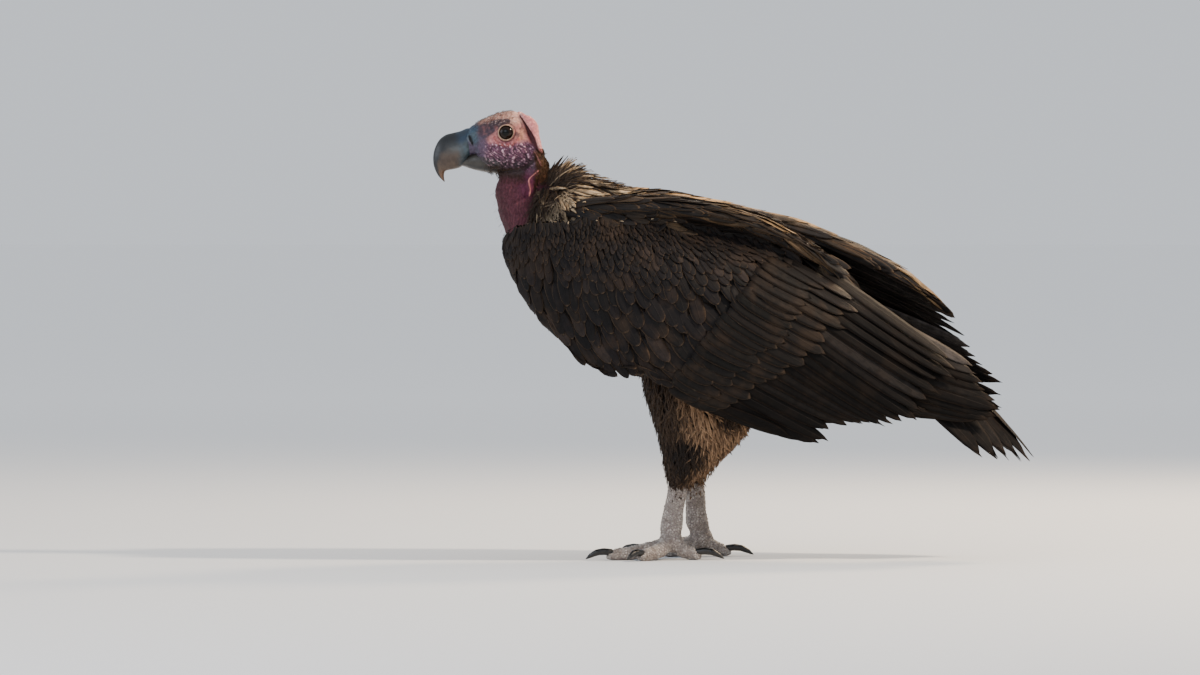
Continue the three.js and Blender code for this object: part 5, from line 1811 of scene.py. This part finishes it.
def scattered(name, ground, part, wanted, grain, size, material, *, gap, lean, sway, sizes,
              tones, seed):
    """A coat piece of many copies of the part over the ground's wanted points."""
    set_values(ground, "wanted", "FLOAT", wanted)
    set_values(ground, "grain", "FLOAT_VECTOR", grain)
    set_values(ground, "size", "FLOAT_VECTOR", size)
    piece = bpy.data.objects.new(name, ground.data.copy())
    scene.collection.objects.link(piece)
    grow = piece.modifiers.new("scatter", "NODES")
    grow.node_group = SCATTER
    values = {"Part": part, "Gap": gap * MM, "Lean": lean, "Sway": sway, "Smallest": sizes[0],
              "Largest": sizes[1], "Tone Low": tones[0], "Tone High": tones[1], "Seed": seed,
              "Finish": material}
    for item in SCATTER.interface.items_tree:
        if item.in_out == "INPUT" and item.name in values:
            grow[item.identifier] = values[item.name]
    settle(piece)
    piece.data.name = name
    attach(piece, "root")


def hair_part(name, slimness):
    """One bristle a unit long, bent a little back, its root just under the skin."""
    rows, ring = len(HAIR_ROWS), len(HAIR_RING[0])
    line = np.array([[-0.12, 0, 0], [0.4, 0, 0.03], [0.75, 0, 0.0], [1.0, 0, -0.08]])[None]
    up = np.tile([0, 0, 1.0], (1, rows, 1))
    points, faces = vanes(line, up, np.array([slimness]), HAIR_TIP, np.zeros((1, rows)), ring=HAIR_RING,
                          cup=0.0, thick=1.5 * slimness)
    part = mesh_piece(name, points.reshape(-1, 3), faces, bristle_material)
    across = np.broadcast_to((HAIR_RING[0] + 1) / 2, (rows, ring))
    along = np.broadcast_to(HAIR_ROWS[:, None], (rows, ring))
    set_uv(part, "vane", np.stack([across, along], -1).reshape(-1, 2))
    scene.collection.objects.unlink(part)
    return part


hx, _, hz = at_head.T
on_forehead = (hz > 7) & (hx > -48) & (hx < 8) & (hz > 10 + 0.12 * hx)
on_chin = (hz < -46) & (hz > -64) & (hx > -62) & (hx < -6)
on_nape = (hx > 40 + 0.05 * (hz + 60)) & (hz < -24)
on_neck = (hx < -4) & (hz < -80)
on_throat = (hz < -52) & (hz > -76) & (hx > -8) & (hx < 30)
# Each patch: where, length, gap, heading in degrees, lean and sway, slimness, and tones.
BRISTLES = {
    "forehead": (on_forehead, 3.6, 1.9, 22, 0.50, 0.9, 0.045, (0.0, 0.3)),
    "chin": (on_chin, 6.5, 1.9, -50, 0.60, 0.7, 0.030, (0.0, 0.15)),
    "nape": (on_nape, 6.0, 1.35, -60, 0.45, 0.7, 0.040, (0.0, 0.35)),
    "neck": (on_neck, 9.0, 11.0, -140, 1.0, 0.8, 0.012, (0.0, 0.1)),
    "throat": (on_throat, 3.8, 1.8, -70, 0.45, 0.8, 0.045, (0.0, 0.4)),
}
for seed, (patch_name, settings) in enumerate(BRISTLES.items()):
    wanted, length, gap, angle, lean, sway, slimness, tones = settings
    hair = hair_part(f"one_{patch_name}_bristle", slimness)
    grain = side_heading(np.full(len(head_points), float(angle)))
    size = np.full((len(head_points), 3), length * MM)
    scattered(f"{patch_name}_bristles", head_skin, hair, wanted, grain, size, bristle_material,
              gap=gap, lean=lean, sway=sway, sizes=(0.6, 1.3), tones=tones, seed=111 + seed)

# ---- Leg scales ----
# Small raised horny scales cover the shanks and the toes, with broad plates across the tops of
# the toes.
SCALE_SIDES = 6
TOE_HEIGHT = 0.036         # below this the tops of the toes carry plates
SHANK_TOP = 0.125          # the scales end here, under the thigh's tufts
BUTTON = (1.85 * MM, 1.75 * MM, MM)
PLATE = (1.6 * MM, 2.9 * MM, MM)
scale_material, tree, shader = new_material("leg_scales")
tint = node(tree, "ShaderNodeAttribute", attribute_name="tint").outputs["Fac"]
place = node(tree, "ShaderNodeTexCoord").outputs["Object"]
soil, _ = patches(tree, 70, 4, 0.42, 0.66, 0.0, 0.55)
pale = mixed(tree, tint, linear("#7b736d"), linear("#b3aaa1"))
feed(tree, mixed(tree, soil, pale, linear("#5d4c40")), shader.inputs["Base Color"])
shader.inputs["Roughness"].default_value = 0.55
bump(tree, shader, noise_of(tree, place, 900, 3), 0.3, 0.0003)

# One scale: a low six-sided button, a unit long and wide and a millimetre high when it is laid.
turn = 2 * math.pi * (np.arange(SCALE_SIDES) + 0.5) / SCALE_SIDES
rings = [np.stack([share * np.cos(turn), share * np.sin(turn), np.full(SCALE_SIDES, height)], 1)
         for share, height in ((1.0, -0.5), (0.95, 0.25), (0.62, 0.75))]
one = np.concatenate(rings)
scale_part = mesh_piece("one_scale", one, outward(one, loft_faces(3, SCALE_SIDES)), scale_material)
set_uv(scale_part, "vane", 0.5 + 0.5 * one[:, :2])
scene.collection.objects.unlink(scale_part)

leg_normals = normals_of(leg_skin.data)
foot_middles = np.array([(sum(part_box(f"foot_{name}"), Vector()) / 2)[:] for name in SIDES])
outgoing = leg_points - foot_middles[np.where(leg_points[:, 1] < 0, 0, 1)]
outgoing[:, 2] = 0
on_toe = (leg_points[:, 2] < TOE_HEIGHT) & (leg_normals[:, 2] > 0.45)
grain = np.where(on_toe[:, None], outgoing, np.array([0, 0, -1.0]))
shown = (leg_points[:, 2] > 2.5 * MM) & (leg_points[:, 2] < SHANK_TOP) & (leg_normals[:, 2] > -0.75)
size = np.where(on_toe[:, None], PLATE, BUTTON)
scattered("leg_scales", leg_skin, scale_part, shown, grain, size, scale_material,
          gap=3.0, lean=0.0, sway=0.1, sizes=(0.9, 1.1), tones=(0, 0), seed=131)

# ---- Claws ----
# Curved black horn that grips the end bone of each toe, a little worn and dusty. Each is shaped by
# smoothing its plain form.
CLAW_VOXEL = 1.0 * MM
CLAW_SMOOTHING = 16
claw_material, tree, shader = new_material("claw_horn")
worn, dusty = patches(tree, 140, 4, 0.45, 0.7, 0.0, 0.35)
feed(tree, mixed(tree, worn, linear("#0b0a0a"), linear("#3c352f")), shader.inputs["Base Color"])
feed(tree, ramp_value(tree, dusty, 0.3, 0.7, 0.22, 0.5), shader.inputs["Roughness"])
bump(tree, shader, dusty, 0.2, 0.0003)
for name in SIDES:
    claw_nodes = [f"claw_{toe}_{name}" for toe in ("inner", "middle", "outer", "hind")]
    claws = rounded(f"claws_{name}", claw_nodes, CLAW_VOXEL, CLAW_SMOOTHING)
    claws.data.materials.clear()
    claws.data.materials.append(claw_material)
    for polygon in claws.data.polygons:
        polygon.use_smooth = True
    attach(claws, "root")
    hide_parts(*claw_nodes)
